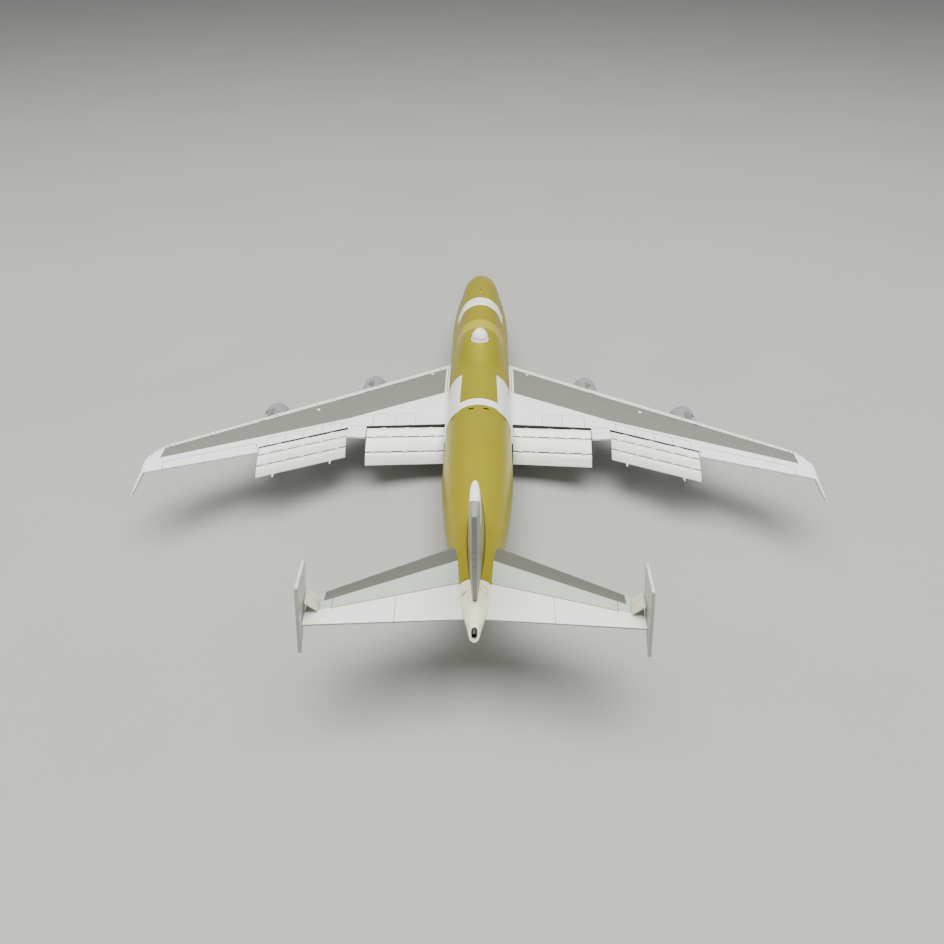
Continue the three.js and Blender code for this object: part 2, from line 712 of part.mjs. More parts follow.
// A brace from the top of the tailplane up to the inner face of the end plate.
function bracePiece(side) {
  const rise = braceRise + braceThickness;
  const outerX = endplateInnerX - seam - braceThickness / 2 - Math.tan(degToRad(endplateLean)) * rise;
  const innerX = outerX - braceRun;
  const front = tailplaneTipLead;
  const base = tailplaneZ(innerX) + tailplaneTipThickness / 2 + seam + braceThickness / 2;
  const corner = (x, z, station) => at(side * x, station, z);
  const up = new THREE.Vector3(-side * braceRise, 0, braceRun).normalize();
  const rings = [
    [innerX, base, front],
    [outerX, base + braceRise, front + braceSweep],
  ].map(([x, z, station]) => {
    const trail = corner(x, z, station + braceChord);
    return foilRing(corner(x, z, station), trail, up, braceThickness, braceThickness / 2, flapSteps);
  });
  const body = closedSkin(rings, foilSides(flapSteps));
  return piece(side > 0 ? 'endplate_brace_right' : 'endplate_brace_left', body, creamPaint());
}

// ---------------------------------------------------------------- tail cone
const coneSpigot = { radius: 2.6, length: 6 };
const outlet = { radius: 1.1, bore: 0.75, length: 4 };

function spigotBar(grow) {
  const line = fuselageLines(tailConeStation);
  const length = coneSpigot.length + grow;
  const middle = at(0, tailConeStation + pegBury - (length + pegBury) / 2, line.centre);
  return bar('y', coneSpigot.radius + grow, length + pegBury, middle);
}

function tailConePiece() {
  const cone = fuselageBody(tailConeStation + seam, fuselageLength).add(spigotBar(0));
  const socket = bar('y', outlet.radius + seam / 3, 2 * outlet.length, at(0, fuselageLength, tailTipHeight));
  const body = cone.subtract(socket).subtract(finTrim);
  return piece('tail_cone', body, creamPaint());
}

function outletPiece() {
  const end = outlet.length - seam;
  const profile = [
    [0, end],
    [outlet.radius, end],
    [outlet.radius, 0],
    [outlet.bore, 0],
    [outlet.bore, end / 2],
    [0, end / 2],
  ];
  const mesh = piece('apu_outlet', turned(profile, 16), darkMetal());
  mesh.position.copy(at(0, fuselageLength, tailTipHeight));
  return mesh;
}

const finTrim = finBody(seam).intersect(
  block(-finRootThickness, finRootThickness, tailConeStation, fuselageLength, finGrooveFoot, finTipHeight),
);

// ---------------------------------------------------------------- dome
function domeBody() {
  const dome = new THREE.SphereGeometry(0.5, 20, 14).rotateX(Math.PI / 2);
  dome.scale(domeWidth, domeLength, 2 * domeHeight);
  const places = dome.getAttribute('position');
  for (let i = 0; i < places.count; i += 1) {
    const share = places.getY(i) / domeLength;
    if (share > 0) places.setX(i, places.getX(i) * (1 - domeTaper * share));
  }
  const base = fuselageLines(domeStation).crown - domeSink;
  const centre = at(0, domeStation, base);
  return solid(dome.translate(centre.x, centre.y, centre.z));
}

const domePegBar = (grow) => {
  const crown = fuselageLines(domeStation).crown;
  const length = domePeg.depth + grow;
  const middle = at(0, domeStation, crown + pegBury - (length + pegBury) / 2);
  return bar('z', domePeg.radius + grow, length + pegBury, middle, 12);
};

const domePiece = () => {
  const body = domeBody().subtract(fuselageTrim).add(domePegBar(0));
  return piece('satcom_dome', body, whitePaint());
};

// ---------------------------------------------------------------- fuselage shell
const blockTop = wingRootHeight - tongueDrop - tongueHeight / 2 - seam;

function shellPiece() {
  const hollowRear = fuselageLength - hollowRearGap;
  let body = fuselageBody(noseStart, tailConeStation);
  body = body.subtract(fuselageBody(hollowFront, hollowRear, -wall));
  screwStations.forEach((station) => {
    const top = fuselageLines(station).crown - wall / 2;
    const foot = blockTop + seam;
    const middle = at(0, station, (top + foot) / 2);
    const hole = at(0, station, foot);
    body = body.add(bar('z', postRadius, top - foot, middle));
    body = body.subtract(bar('z', screwRadius + seam / 2, 2 * (screwBite + seam), hole, 12));
  });
  body = body.subtract(block(-bayHalfWidth, bayHalfWidth, bayFront, bayRear, 0, blockTop + seam));
  [1, -1].forEach((side) => {
    const inner = side * tongueSlotX;
    const outside = block(inner, side * cutReach, tongueFront - seam, tongueRear + seam, 0, cutReach);
    const slot = tongueBlock(side, seam).intersect(outside);
    body = body.subtract(slot).subtract(tailTongueBlock(side, seam));
  });
  const nosePocket = at(0, noseGearStation, noseKeel);
  return piece(
    'fuselage_shell',
    body
      .subtract(finTongueBlock(seam))
      .subtract(domePegBar(seam))
      .subtract(spigotBar(seam))
      .subtract(bar('z', noseStrutRadius + running, 2 * noseSocketDepth, nosePocket)),
    goldPaint(),
  );
}

// ---------------------------------------------------------------- belly fairing
function bellyRing(station) {
  const share = (2 * (station - bellyFront)) / (bellyRear - bellyFront) - 1;
  const full = Math.max(0, 1 - share ** 4) ** 0.5;
  return (turn) => {
    const angle = turn * 2 * Math.PI;
    const x = Math.sin(angle) * bellyHalfWidth * lerp(bellyEndWidth, 1, full);
    const depth = (bellyMiddle - bellyFoot) * lerp(bellyEndDepth, 1, full);
    return at(x, station, bellyMiddle - Math.cos(angle) * (Math.cos(angle) > 0 ? depth : bellyRise));
  };
}

function bellyPiece() {
  const steps = 8;
  const rings = [];
  for (let i = 0; i <= steps; i += 1) {
    const share = (1 - Math.cos((Math.PI * i) / steps)) / 2;
    rings.push(bellyRing(lerp(bellyFront, bellyRear, share)));
  }
  let body = closedSkin(rings, 20).subtract(fuselageTrim);
  [1, -1].forEach((side) => {
    body = body.subtract(wingBody(side, wingRootX - wingBury, gears[0].x, seam));
  });
  const inset = bayHalfWidth - seam;
  body = body.add(block(-inset, inset, bayFront + seam, bayRear - seam, bellyFoot + bellyFloor, blockTop));
  const seatHeight = bellyFoot - seatProud;
  const seatMiddle = at(0, seatStation, seatHeight + seatThickness / 2);
  body = body.add(bar('z', seatRadius, seatThickness, seatMiddle, 32));
  body = body.subtract(bar('z', seatHole.radius, 2 * seatHole.depth, at(0, seatStation, seatHeight), 16));
  screwStations.forEach((station) => {
    const middle = at(0, station, blockTop);
    const head = at(0, station, screwHeadSeat - cutReach / 2);
    body = body.subtract(bar('z', screwRadius + seam, cutReach, middle, 12));
    body = body.subtract(bar('z', screwHeadRadius + seam, cutReach, head, 20));
  });
  [1, -1].forEach((side) => {
    body = body.subtract(gearSocket(gears[1], side, bellyUnderside(gears[1])));
  });
  return piece('belly_fairing', body, goldPaint());
}

const screwHeadSeat = bellyFoot + screwHeadHeight + screwRecess;

function bellyUnderside(gear) {
  const across = gear.x / bellyHalfWidth;
  return bellyMiddle - (bellyMiddle - bellyFoot) * Math.sqrt(1 - across * across);
}

function screwPiece(station, name) {
  const shankTop = blockTop + seam + screwBite;
  const foot = screwHeadSeat - seam - screwHeadHeight;
  const slotDepth = screwHeadHeight / 2;
  const profile = [
    [0, foot],
    [screwHeadRadius * 0.8, foot],
    [screwHeadRadius, foot + screwHeadHeight * 0.4],
    [screwHeadRadius, foot + screwHeadHeight],
    [screwRadius, foot + screwHeadHeight],
    [screwRadius, shankTop - screwRadius],
    [0, shankTop],
  ];
  const blade = new THREE.BoxGeometry(0.5, 2 * slotDepth, screwHeadRadius * 1.3).translate(0, foot, 0);
  const cross = solid(blade).add(solid(blade.clone().rotateY(Math.PI / 2)));
  const mesh = piece(name, turned(profile, 20).subtract(cross), bareMetal());
  mesh.rotation.x = Math.PI / 2;
  mesh.position.copy(at(0, station, 0));
  return mesh;
}

// ---------------------------------------------------------------- engines
// Station of an engine's inlet lip, and height of its axis.
const enginePlace = (engine) => ({
  inlet: wingLead(engine.x) - engineAhead,
  height: wingHeight(engine.x) - engineDrop,
});

const nacelleOutside = (grow = 0) => [
  [ductRadius + 0.5, grow],
  [nacelleRadius * 0.93 + grow, -nacelleLength * 0.05],
  [nacelleRadius + grow, -nacelleLength * 0.25],
  [nacelleRadius + grow, -nacelleLength * 0.5],
  [nacelleExitRadius + grow, -nacelleLength - grow],
];

function nacellePiece(engine) {
  const profile = [
    ...nacelleOutside(),
    [nacelleExitRadius - 0.4, -nacelleLength],
    [ductRadius, -nacelleLength * 0.55],
    [ductRadius, -nacelleLength * 0.1],
    [ductRadius - 0.2, -nacelleLength * 0.04],
    [ductRadius + 0.5, 0],
  ];
  return piece(`nacelle_${engine.number}`, turned(profile, 24), greyPaint());
}

const nacelleEnvelope = () => {
  const profile = [[0, seam], ...nacelleOutside(seam), [0, -nacelleLength - seam]];
  return turned(profile, 24);
};

const coreFront = -(fanSetback + 1.5);
const coreOutside = (grow = 0) => [
  [coreRadius - 0.6 + grow, coreFront],
  [coreRadius + grow, -nacelleLength * 0.55],
  [coreRadius + 0.3 + grow, -nacelleLength * 0.95],
  [nozzleRadius + grow, -coreEnd],
];

function exhaustPiece(engine) {
  const profile = [
    [0, -fanSetback + 0.6],
    [corePinRadius, -fanSetback + 0.6],
    [corePinRadius, coreFront],
    ...coreOutside(),
    [nozzleRadius - 0.4, -coreEnd],
    [nozzleRadius - 0.5, -coreEnd + 2.5],
    [nozzleRadius - 1.2, -coreEnd + 2.5],
    [nozzleRadius - 1.1, -coreEnd - 0.5],
    [0.4, -plugEnd],
    [0, -plugEnd],
  ];
  let body = turned(profile, 16);
  const inner = coreRadius - 1;
  const outer = ductRadius - seam;
  for (let i = 0; i < strutCount; i += 1) {
    const strut = new THREE.BoxGeometry(0.5, 4, outer - inner).translate(0, 0, (outer + inner) / 2);
    strut.rotateY(((i + 0.5) * 2 * Math.PI) / strutCount);
    body = body.add(solid(strut.translate(0, -nacelleLength * 0.42, 0)));
  }
  return piece(`exhaust_${engine.number}`, body, darkMetal());
}

function fanPiece(engine) {
  const depth = 1.6;
  const profile = [
    [0, spinnerLength],
    [fanHubRadius * 0.55, spinnerLength * 0.7],
    [fanHubRadius, 0.6],
    [fanHubRadius, -1.2],
    [corePinRadius + running, -1.2],
    [corePinRadius + running, depth - 0.4],
    [0, depth - 0.4],
  ];
  let body = turned(profile, 12);
  const inner = fanHubRadius - 0.3;
  const outer = ductRadius - running - 0.1;
  for (let i = 0; i < fanBlades; i += 1) {
    const blade = new THREE.BoxGeometry(0.35, 1.9, outer - inner).rotateZ(degToRad(38));
    blade.translate(0, -0.2, (outer + inner) / 2).rotateY((i * 2 * Math.PI) / fanBlades);
    body = body.add(solid(blade));
  }
  const mesh = piece(`fan_${engine.number}`, body, bareMetal());
  mesh.position.set(0, -fanSetback, 0);
  return mesh;
}

function pylonPiece(engine) {
  const lead = wingLead(engine.x);
  const wingZ = wingHeight(engine.x);
  const { inlet, height } = enginePlace(engine);
  const centre = at(engine.side * engine.x, inlet, height);
  const outline = [
    [inlet + 5, height + nacelleRadius - 1],
    [lead - 6, wingZ + 0.2],
    [lead - 2, wingZ + 1],
    [lead + 4, wingZ + 0.8],
    [lead + 24, wingZ - 1],
    [inlet + coreEnd - 1, height + nozzleRadius],
    [inlet + nacelleLength, height + coreRadius - 1],
    [inlet + 6, height + coreRadius],
  ].map(([station, z]) => new THREE.Vector2(noseTipY - station, z));
  const across = new THREE.Matrix4().makeBasis(
    new THREE.Vector3(0, 1, 0),
    new THREE.Vector3(0, 0, 1),
    new THREE.Vector3(1, 0, 0),
  );
  const envelope = moved(nacelleEnvelope(), centre);
  const core = moved(turned([[0, 0], ...coreOutside(seam), [0, -coreEnd]], 16), centre);
  const wing = wingBody(engine.side, engine.x - 5, engine.x + 5, seam);
  const body = plate(outline, pylonThickness, across.setPosition(engine.side * engine.x, 0, 0));
  const trimmed = body.subtract(envelope).subtract(core).subtract(wing);
  return piece(`pylon_${engine.number}`, trimmed, greyPaint());
}

function engineGroup(engine) {
  const group = new THREE.Group();
  const { inlet, height } = enginePlace(engine);
  group.position.copy(at(engine.side * engine.x, inlet, height));
  group.add(nacellePiece(engine), exhaustPiece(engine), fanPiece(engine));
  return group;
}

// ---------------------------------------------------------------- landing gear
const wheelInner = beamWidth / 2 + running + cheekWidth + running;
const noseKeel = fuselageLines(noseGearStation).centre - fuselageLines(noseGearStation).halfHeight;

// An axle with a wheel pressed on each end, turned in one profile about X.
function wheelsetPiece(name) {
  const inner = wheelInner;
  const outer = wheelInner + wheelWidth;
  const half = [
    [0, outer],
    [wheelRadius - tyreShoulder, outer],
    [wheelRadius, outer - tyreShoulder],
    [wheelRadius, inner + tyreShoulder],
    [wheelRadius - tyreShoulder, inner],
    [axleRadius, inner],
  ];
  const mirrored = half.map(([r, x]) => [r, -x]).reverse();
  const mesh = piece(name, turned([...half, ...mirrored], 16), tyreRubber());
  mesh.rotation.z = Math.PI / 2;
  return mesh;
}

const hubRadius = axleRadius + running + 0.6;

function bogiePiece(name) {
  const reach = bogieWheelbase / 2;
  let body = solid(new THREE.BoxGeometry(beamWidth, bogieWheelbase, 1.4));
  [-reach, 0, reach].forEach((y) => {
    body = body.add(bar('x', hubRadius, beamWidth, new THREE.Vector3(0, y, 0), 12));
  });
  [-reach, 0, reach].forEach((y) => {
    body = body.subtract(bar('x', axleRadius + running, 2 * beamWidth, new THREE.Vector3(0, y, 0), 10));
  });
  return piece(name, body, gearSilver());
}

// A strut with a fork and a pin, which straddles the bogie beam. Its origin is the pin's middle.
function legPiece(gear, side, top) {
  const cheekInner = beamWidth / 2 + running;
  const cheekOuter = cheekInner + cheekWidth;
  const head = forkHeight - wheelRadius;
  const headHeight = 1.4;
  const tip = top + gear.socketDepth - seam - wheelRadius;
  const box = (fromX, toX, half, fromZ, toZ) => {
    const geometry = new THREE.BoxGeometry(toX - fromX, 2 * half, toZ - fromZ);
    return solid(geometry.translate((fromX + toX) / 2, 0, (fromZ + toZ) / 2));
  };
  const body = bar('z', strutRadius, tip - head, new THREE.Vector3(0, 0, (tip + head) / 2))
    .add(box(-cheekOuter, cheekOuter, 1.3, head, head + headHeight))
    .add(box(-cheekOuter, -cheekInner, 1.1, -1.1, head + headHeight / 2))
    .add(box(cheekInner, cheekOuter, 1.1, -1.1, head + headHeight / 2))
    .add(bar('x', axleRadius, 2 * cheekOuter - 0.1, new THREE.Vector3(), 12));
  return piece(`${gear.name}_leg_${side > 0 ? 'right' : 'left'}`, body, gearSilver());
}

function mainGearGroup(gear, side, top) {
  const hand = side > 0 ? 'right' : 'left';
  const group = new THREE.Group();
  group.position.copy(at(side * gear.x, gear.station, wheelRadius));
  const front = wheelsetPiece(`${gear.name}_wheels_${hand}_front`);
  const rear = wheelsetPiece(`${gear.name}_wheels_${hand}_rear`);
  front.position.y = bogieWheelbase / 2;
  rear.position.y = -bogieWheelbase / 2;
  group.add(legPiece(gear, side, top), bogiePiece(`${gear.name}_bogie_${hand}`), front, rear);
  return group;
}

function noseGearGroup() {
  const group = new THREE.Group();
  group.position.copy(at(0, noseGearStation, wheelRadius));
  const tip = noseKeel + noseSocketDepth - running - wheelRadius;
  const foot = new THREE.Vector3(0, 0, 0);
  const body = bar('z', noseStrutRadius, tip, new THREE.Vector3(0, 0, tip / 2))
    .add(bar('z', noseStrutRadius + 0.5, 2, new THREE.Vector3(0, 0, hubRadius + 1.4)))
    .add(bar('x', hubRadius, 2 * (wheelInner - running), foot))
    .subtract(bar('x', axleRadius + running, 4 * wheelInner, foot, 12));
  group.add(piece('nose_gear_leg', body, gearSilver()), wheelsetPiece('nose_gear_wheels'));
  return group;
}

// ---------------------------------------------------------------- assembly
const airliner = new THREE.Group();
airliner.add(shellPiece(), bellyPiece(), tailConePiece(), outletPiece(), finPiece(), domePiece());
airliner.add(screwPiece(screwStations[0], 'body_screw_front'));
airliner.add(screwPiece(screwStations[1], 'body_screw_rear'));
[1, -1].forEach((side) => {
  airliner.add(wingPiece(side), bladePiece(side), flapPiece(innerFlap, side), flapPiece(outerFlap, side));
  airliner.add(tailplanePiece(side), endplatePiece(side), bracePiece(side));
  airliner.add(mainGearGroup(gears[0], side, wingUnderside(gears[0].x, gears[0].station)));
  airliner.add(mainGearGroup(gears[1], side, bellyUnderside(gears[1])));
});
airliner.add(noseGearGroup());
engines.forEach((engine) => airliner.add(engineGroup(engine), pylonPiece(engine)));

export default airliner;
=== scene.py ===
import math

import bmesh
import bpy
from mathutils import Matrix, Vector


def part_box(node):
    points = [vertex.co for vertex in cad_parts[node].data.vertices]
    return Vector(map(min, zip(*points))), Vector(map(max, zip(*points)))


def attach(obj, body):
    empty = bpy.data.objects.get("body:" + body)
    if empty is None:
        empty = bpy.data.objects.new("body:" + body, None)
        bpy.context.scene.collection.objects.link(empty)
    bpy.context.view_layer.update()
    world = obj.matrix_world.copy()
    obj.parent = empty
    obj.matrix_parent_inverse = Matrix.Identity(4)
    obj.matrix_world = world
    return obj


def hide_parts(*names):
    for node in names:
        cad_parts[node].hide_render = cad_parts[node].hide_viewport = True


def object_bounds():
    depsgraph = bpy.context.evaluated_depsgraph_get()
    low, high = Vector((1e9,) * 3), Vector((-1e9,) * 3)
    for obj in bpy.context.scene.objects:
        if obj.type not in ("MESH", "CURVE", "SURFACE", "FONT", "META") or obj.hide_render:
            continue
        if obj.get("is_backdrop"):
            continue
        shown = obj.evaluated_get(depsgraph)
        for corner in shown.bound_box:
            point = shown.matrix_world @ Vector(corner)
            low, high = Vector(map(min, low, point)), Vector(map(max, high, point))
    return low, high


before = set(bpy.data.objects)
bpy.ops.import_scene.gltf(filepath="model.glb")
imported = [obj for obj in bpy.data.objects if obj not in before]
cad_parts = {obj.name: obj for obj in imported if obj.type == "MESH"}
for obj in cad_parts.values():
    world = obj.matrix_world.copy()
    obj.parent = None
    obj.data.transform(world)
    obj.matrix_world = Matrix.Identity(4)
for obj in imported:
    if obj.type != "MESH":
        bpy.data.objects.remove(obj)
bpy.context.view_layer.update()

# ---------------- camera, floor and light
# The desk model is looked at from behind and above its tail, at about arm's length. It stands on a
# pale, slightly uneven sheet, under one wide overhead softbox with a weaker one at each side.

camera = bpy.data.objects.new("camera", bpy.data.cameras.new("camera"))
bpy.context.collection.objects.link(camera)
camera.location = (0.00265, -0.3777, 0.2554)
camera.rotation_euler = (math.radians(55.12), 0, math.radians(0.93))
camera.data.lens = 33.09
camera.data.sensor_width = 36
camera.data.clip_start = 0.005
bpy.context.scene.camera = camera


def linear(code):
    """Linear colour, with alpha, of a hex code as a painter would read it off a chart."""
    parts = [int(code[i : i + 2], 16) / 255 for i in (0, 2, 4)]
    return [p / 12.92 if p <= 0.04045 else ((p + 0.055) / 1.055) ** 2.4 for p in parts] + [1]


def node(tree, kind, values=(), out=0, **settings):
    """Adds a node, sets or links its inputs by number or name, and hands on one of its outputs."""
    made = tree.nodes.new("ShaderNode" + kind)
    for key, value in settings.items():
        setattr(made, key, value)
    for key, value in values.items() if isinstance(values, dict) else enumerate(values):
        if isinstance(value, bpy.types.NodeSocket):
            tree.links.new(value, made.inputs[key])
        elif value is not None:
            made.inputs[key].default_value = value
    return made.outputs[out]


def calc(tree, way, a, b=None, c=None):
    return node(tree, "Math", (a, b, c), operation=way)


def blend(tree, share, a, b):
    return node(tree, "Mix", {0: share, 6: a, 7: b}, out=2, data_type="RGBA")


def noise(tree, place, scale, detail=3.0, rough=0.5, seed=0.0):
    """Noise from about 0 to 1. The scale is in cycles a millimetre."""
    values = {"Vector": place, "W": seed, "Scale": scale, "Detail": detail, "Roughness": rough}
    return node(tree, "TexNoise", values, noise_dimensions="4D")


def spread(tree, value, low, high, to_low, to_high):
    return node(tree, "MapRange", (value, low, high, to_low, to_high))


floor_size = 40
bpy.ops.object.select_all(action="DESELECT")
bpy.ops.mesh.primitive_plane_add(size=floor_size, location=(0, 0, 0))
floor = bpy.context.object
floor.name = "floor"
paper = bpy.data.materials.new("pale_sheet")
paper.use_nodes = True
tree = paper.node_tree
coat = tree.nodes["Principled BSDF"]
place = node(tree, "TexCoord", out=3)
cloud = noise(tree, place, 9, 4)
tree.links.new(blend(tree, cloud, linear("92928e"), linear("9c9b97")), coat.inputs["Base Color"])
coat.inputs["Roughness"].default_value = 0.75
grain = noise(tree, place, 900, 2)
bump = node(tree, "Bump", {"Strength": 0.08, "Distance": 0.0002, "Height": grain})
tree.links.new(bump, coat.inputs["Normal"])
floor.data.materials.append(paper)
floor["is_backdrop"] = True

world = bpy.data.worlds.new("studio")
bpy.context.scene.world = world
world.use_nodes = True
world.node_tree.nodes["Background"].inputs["Color"].default_value = (0.95, 0.97, 1, 1)
world.node_tree.nodes["Background"].inputs["Strength"].default_value = 0.42

# each lamp's place, its turn in degrees, its width and its power
softboxes = {
    "overhead": ((0.0, -0.15, 1.3), (0, 0, 0), 1.1, 46),
    "left": ((-1.3, -0.1, 0.75), (0, -60, 0), 0.8, 4),
    "right": ((1.3, 0.0, 0.7), (0, 60, 0), 0.8, 3.5),
}
for name, (where, turn, size, power) in softboxes.items():
    lamp = bpy.data.objects.new(name, bpy.data.lights.new(name, "AREA"))
    lamp.location = where
    lamp.rotation_euler = [math.radians(t) for t in turn]
    lamp.data.size = size
    lamp.data.energy = power
    bpy.context.collection.objects.link(lamp)

# ---------------- fuselage shell
# The forward and middle fuselage of a double-lobed airliner: a long cast body with the flight deck
# riding on top of the main lobe. It is sprayed in gold metallic primer over masked-off white bands
# and side panels, and four dark vent slots are let in behind the rear band.

MM = 0.001
shell_low, shell_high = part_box("fuselage_shell")
fin_low, fin_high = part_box("fin")
cone_low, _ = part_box("tail_cone")
nose_gap = 0.4
nose_y = shell_high.y / MM + nose_gap
hull_radius = (shell_high.x - shell_low.x) / 2 / MM
axis_z = shell_low.z / MM + hull_radius
hull_length = nose_y - cone_low.y / MM
joint_station = nose_y - shell_low.y / MM
nose_length = 86.0
nose_lift = 1.3
deck_radius = 11.5
deck_lift = 10.3
deck_nose = 55.0
deck_flank = 77.0
deck_flank_power = 1.3
deck_end = 122.0
deck_fade = 34.0
deck_drop = 6.3
tail_length = 112.2
tail_radius = 1.5
tail_height = 41.4
lobe_blend = 2.4
nose_blend = 6.0


def at(x, station, z):
    """A point from its side, its distance aft of the nose and its height, all in millimetres."""
    return Vector((x * MM, (nose_y - station) * MM, z * MM))


def lerp(a, b, share):
    return a + (b - a) * share


def clamp(value, low=0.0, high=1.0):
    return max(low, min(high, value))


def smooth(value, start, end):
    share = clamp((value - start) / (end - start))
    return share * share * (3 - 2 * share)


def swell(share, power):
    """How full a rounded end is, from 0 at its tip to 1 where it has met the body."""
    return (1 - (1 - clamp(share)) ** 2) ** (power / 2)


def circle(count):
    """The cosine and sine of so many equal turns, once round."""
    angles = [2 * math.pi * i / count for i in range(count)]
    return [(math.cos(angle), math.sin(angle)) for angle in angles]


def hull_lines(station):
    """Half width, half height and middle of the main lobe, and the same of the upper one."""
    ahead = max(station - nose_gap, 0) * nose_length / (nose_length - nose_gap)
    run = ahead if station < nose_length else station
    tail = clamp((station - hull_length + tail_length) / tail_length)
    tip = axis_z + nose_lift
    sink = deck_drop * smooth(station, deck_end, deck_end + deck_fade)
    crown = lerp(tip, axis_z + hull_radius, swell(run / nose_length, 0.95))
    keel = lerp(tip, axis_z - hull_radius, swell(run / nose_length, 1.25))
    top = lerp(crown, tail_height + tail_radius, tail**2)
    bottom = lerp(keel, tail_height - tail_radius, tail**1.35)
    half_width = lerp(hull_radius * swell(run / nose_length, 1.3), tail_radius, tail**1.6)
    deck_middle = lerp(tip, axis_z + deck_lift, swell(run / deck_nose, 2.1)) - sink
    deck_top = lerp(tip, axis_z + deck_lift + deck_radius, swell(run / deck_nose, 2.8)) - sink
    deck_half = deck_radius * swell(run / deck_flank, deck_flank_power)
    main = (half_width, (top - bottom) / 2, (top + bottom) / 2)
    return main, (deck_half, deck_top - deck_middle, deck_middle)


def ellipse_reach(dx, dz, wide, tall, lift):
    """Distance along a direction to the far side of an ellipse centred at (0, lift)."""
    if wide <= 0 or tall <= 0:
        return 0.0
    a = (dx / wide) ** 2 + (dz / tall) ** 2
    b = dz * lift / tall**2
    root = b * b - a * ((lift / tall) ** 2 - 1)
    return (b + math.sqrt(root)) / a if root > 0 else 0.0


def hull_ring(station, sides, grow=0.0):
    """The hull's outline at a station, with the crease between its two lobes filled smoothly."""
    (wide, tall, middle), (deck_wide, deck_tall, deck_middle) = hull_lines(station)
    fade = 1 - smooth(station, deck_end, deck_end + deck_fade)
    ring = []
    for down, dx in circle(sides):
        dz = -down
        main = ellipse_reach(dx, dz, wide, tall, 0)
        deck = 0.0
        if station < deck_end + deck_fade:
            deck = ellipse_reach(dx, dz, deck_wide, deck_tall, deck_middle - middle)
        soft = lerp(nose_blend, lobe_blend, station / nose_length if station < nose_length else 1)
        soft = soft * fade * clamp(station / 15) + 1e-6
        fill = max(soft - abs(main - deck), 0) ** 2 / (4 * soft)
        reach = max(main, deck) + fill + grow
        ring.append(at(dx * reach, station, middle + dz * reach))
    return ring


def activate(piece):
    bpy.ops.object.select_all(action="DESELECT")
    piece.select_set(True)
    bpy.context.view_layer.objects.active = piece


def loft(name, rings, sharp=40, tube=False):
    """A skin made by extruding a disc ring by ring. A tube's last ring joins its first."""
    bpy.ops.object.select_all(action="DESELECT")
    bpy.ops.mesh.primitive_circle_add(vertices=len(rings[0]), radius=1, fill_type="NGON")
    piece = bpy.context.object
    piece.name = name
    piece.data.name = name
    bpy.ops.object.mode_set(mode="EDIT")
    mesh = bmesh.from_edit_mesh(piece.data)
    turn = mesh.verts.layers.int.new("turn")
    for i, corner in enumerate(mesh.verts):
        corner[turn] = i
        corner.co = rings[0][i]
    bpy.ops.mesh.select_all(action="SELECT")
    for ring in rings[1:]:
        bpy.ops.mesh.extrude_region_move()
        mesh = bmesh.from_edit_mesh(piece.data)
        turn = mesh.verts.layers.int["turn"]
        mesh.verts.ensure_lookup_table()
        for corner in mesh.verts[-len(ring) :]:
            corner.co = ring[corner[turn]]
    if tube:
        mesh.faces.ensure_lookup_table()
        caps = [face for face in mesh.faces if len(face.verts) == len(rings[0]) > 4]
        bmesh.ops.delete(mesh, geom=caps, context="FACES_ONLY")
    bmesh.update_edit_mesh(piece.data)
    bpy.ops.mesh.select_all(action="SELECT")
    bpy.ops.mesh.remove_doubles(threshold=2e-7)
    bpy.ops.mesh.normals_make_consistent(inside=False)
    bpy.ops.object.mode_set(mode="OBJECT")
    piece.data.attributes.remove(piece.data.attributes["turn"])
    bpy.ops.object.shade_smooth_by_angle(angle=math.radians(sharp))
    return piece


def cut(piece, tool, way="DIFFERENCE", sharp=40):
    """Cuts a piece with a closed tool, or joins or crosses the two, and removes the tool."""
    activate(piece)
    step = piece.modifiers.new("cut", "BOOLEAN")
    step.operation = way
    step.object = tool
    step.solver = "EXACT"
    bpy.ops.object.modifier_apply(modifier="cut")
    bpy.data.objects.remove(tool)
    bpy.ops.object.shade_smooth_by_angle(angle=math.radians(sharp))
    return piece


def settle():
    """Puts the active piece's place, turn and size into its mesh, so that its origin is the frame's."""
    bpy.ops.object.transform_apply(location=True, rotation=True, scale=True)
    return bpy.context.object


def box(x, station, z, wide, long, tall, turn=(0, 0, 0), edge=0.0):
    """A box about a point in millimetres, turned by degrees, with bevelled edges."""
    bpy.ops.object.select_all(action="DESELECT")
    angles = [math.radians(t) for t in turn]
    bpy.ops.mesh.primitive_cube_add(size=1, location=at(x, station, z), rotation=angles)
    piece = bpy.context.object
    piece.scale = (wide * MM, long * MM, tall * MM)
    settle()
    if edge:
        soften(piece, edge)
    return piece


def soften(piece, edge, segments=2, limit=40):
    """Rounds a piece's sharp edges by a width in millimetres."""
    activate(piece)
    step = piece.modifiers.new("edge", "BEVEL")
    step.width = edge * MM
    step.segments = segments
    step.limit_method = "ANGLE"
    step.angle_limit = math.radians(limit)
    step.harden_normals = False
    bpy.ops.object.modifier_apply(modifier="edge")
    bpy.ops.object.shade_smooth_by_angle(angle=math.radians(limit))
    return piece


def turned(name, profile, middle, axis="y", sides=64, sharp=40, tube=False):
    """A turned body. The profile lists radius and distance along the axis, in millimetres."""
    rings = []
    for radius, along in profile:
        ring = []
        for cosine, sine in circle(sides):
            a, b = cosine * max(radius, 1e-3), sine * max(radius, 1e-3)
            step = {"x": (along, a, b), "y": (a, along, b), "z": (a, b, along)}[axis]
            ring.append(middle + Vector(step) * MM)
        rings.append(ring)
    return loft(name, rings, sharp, tube)


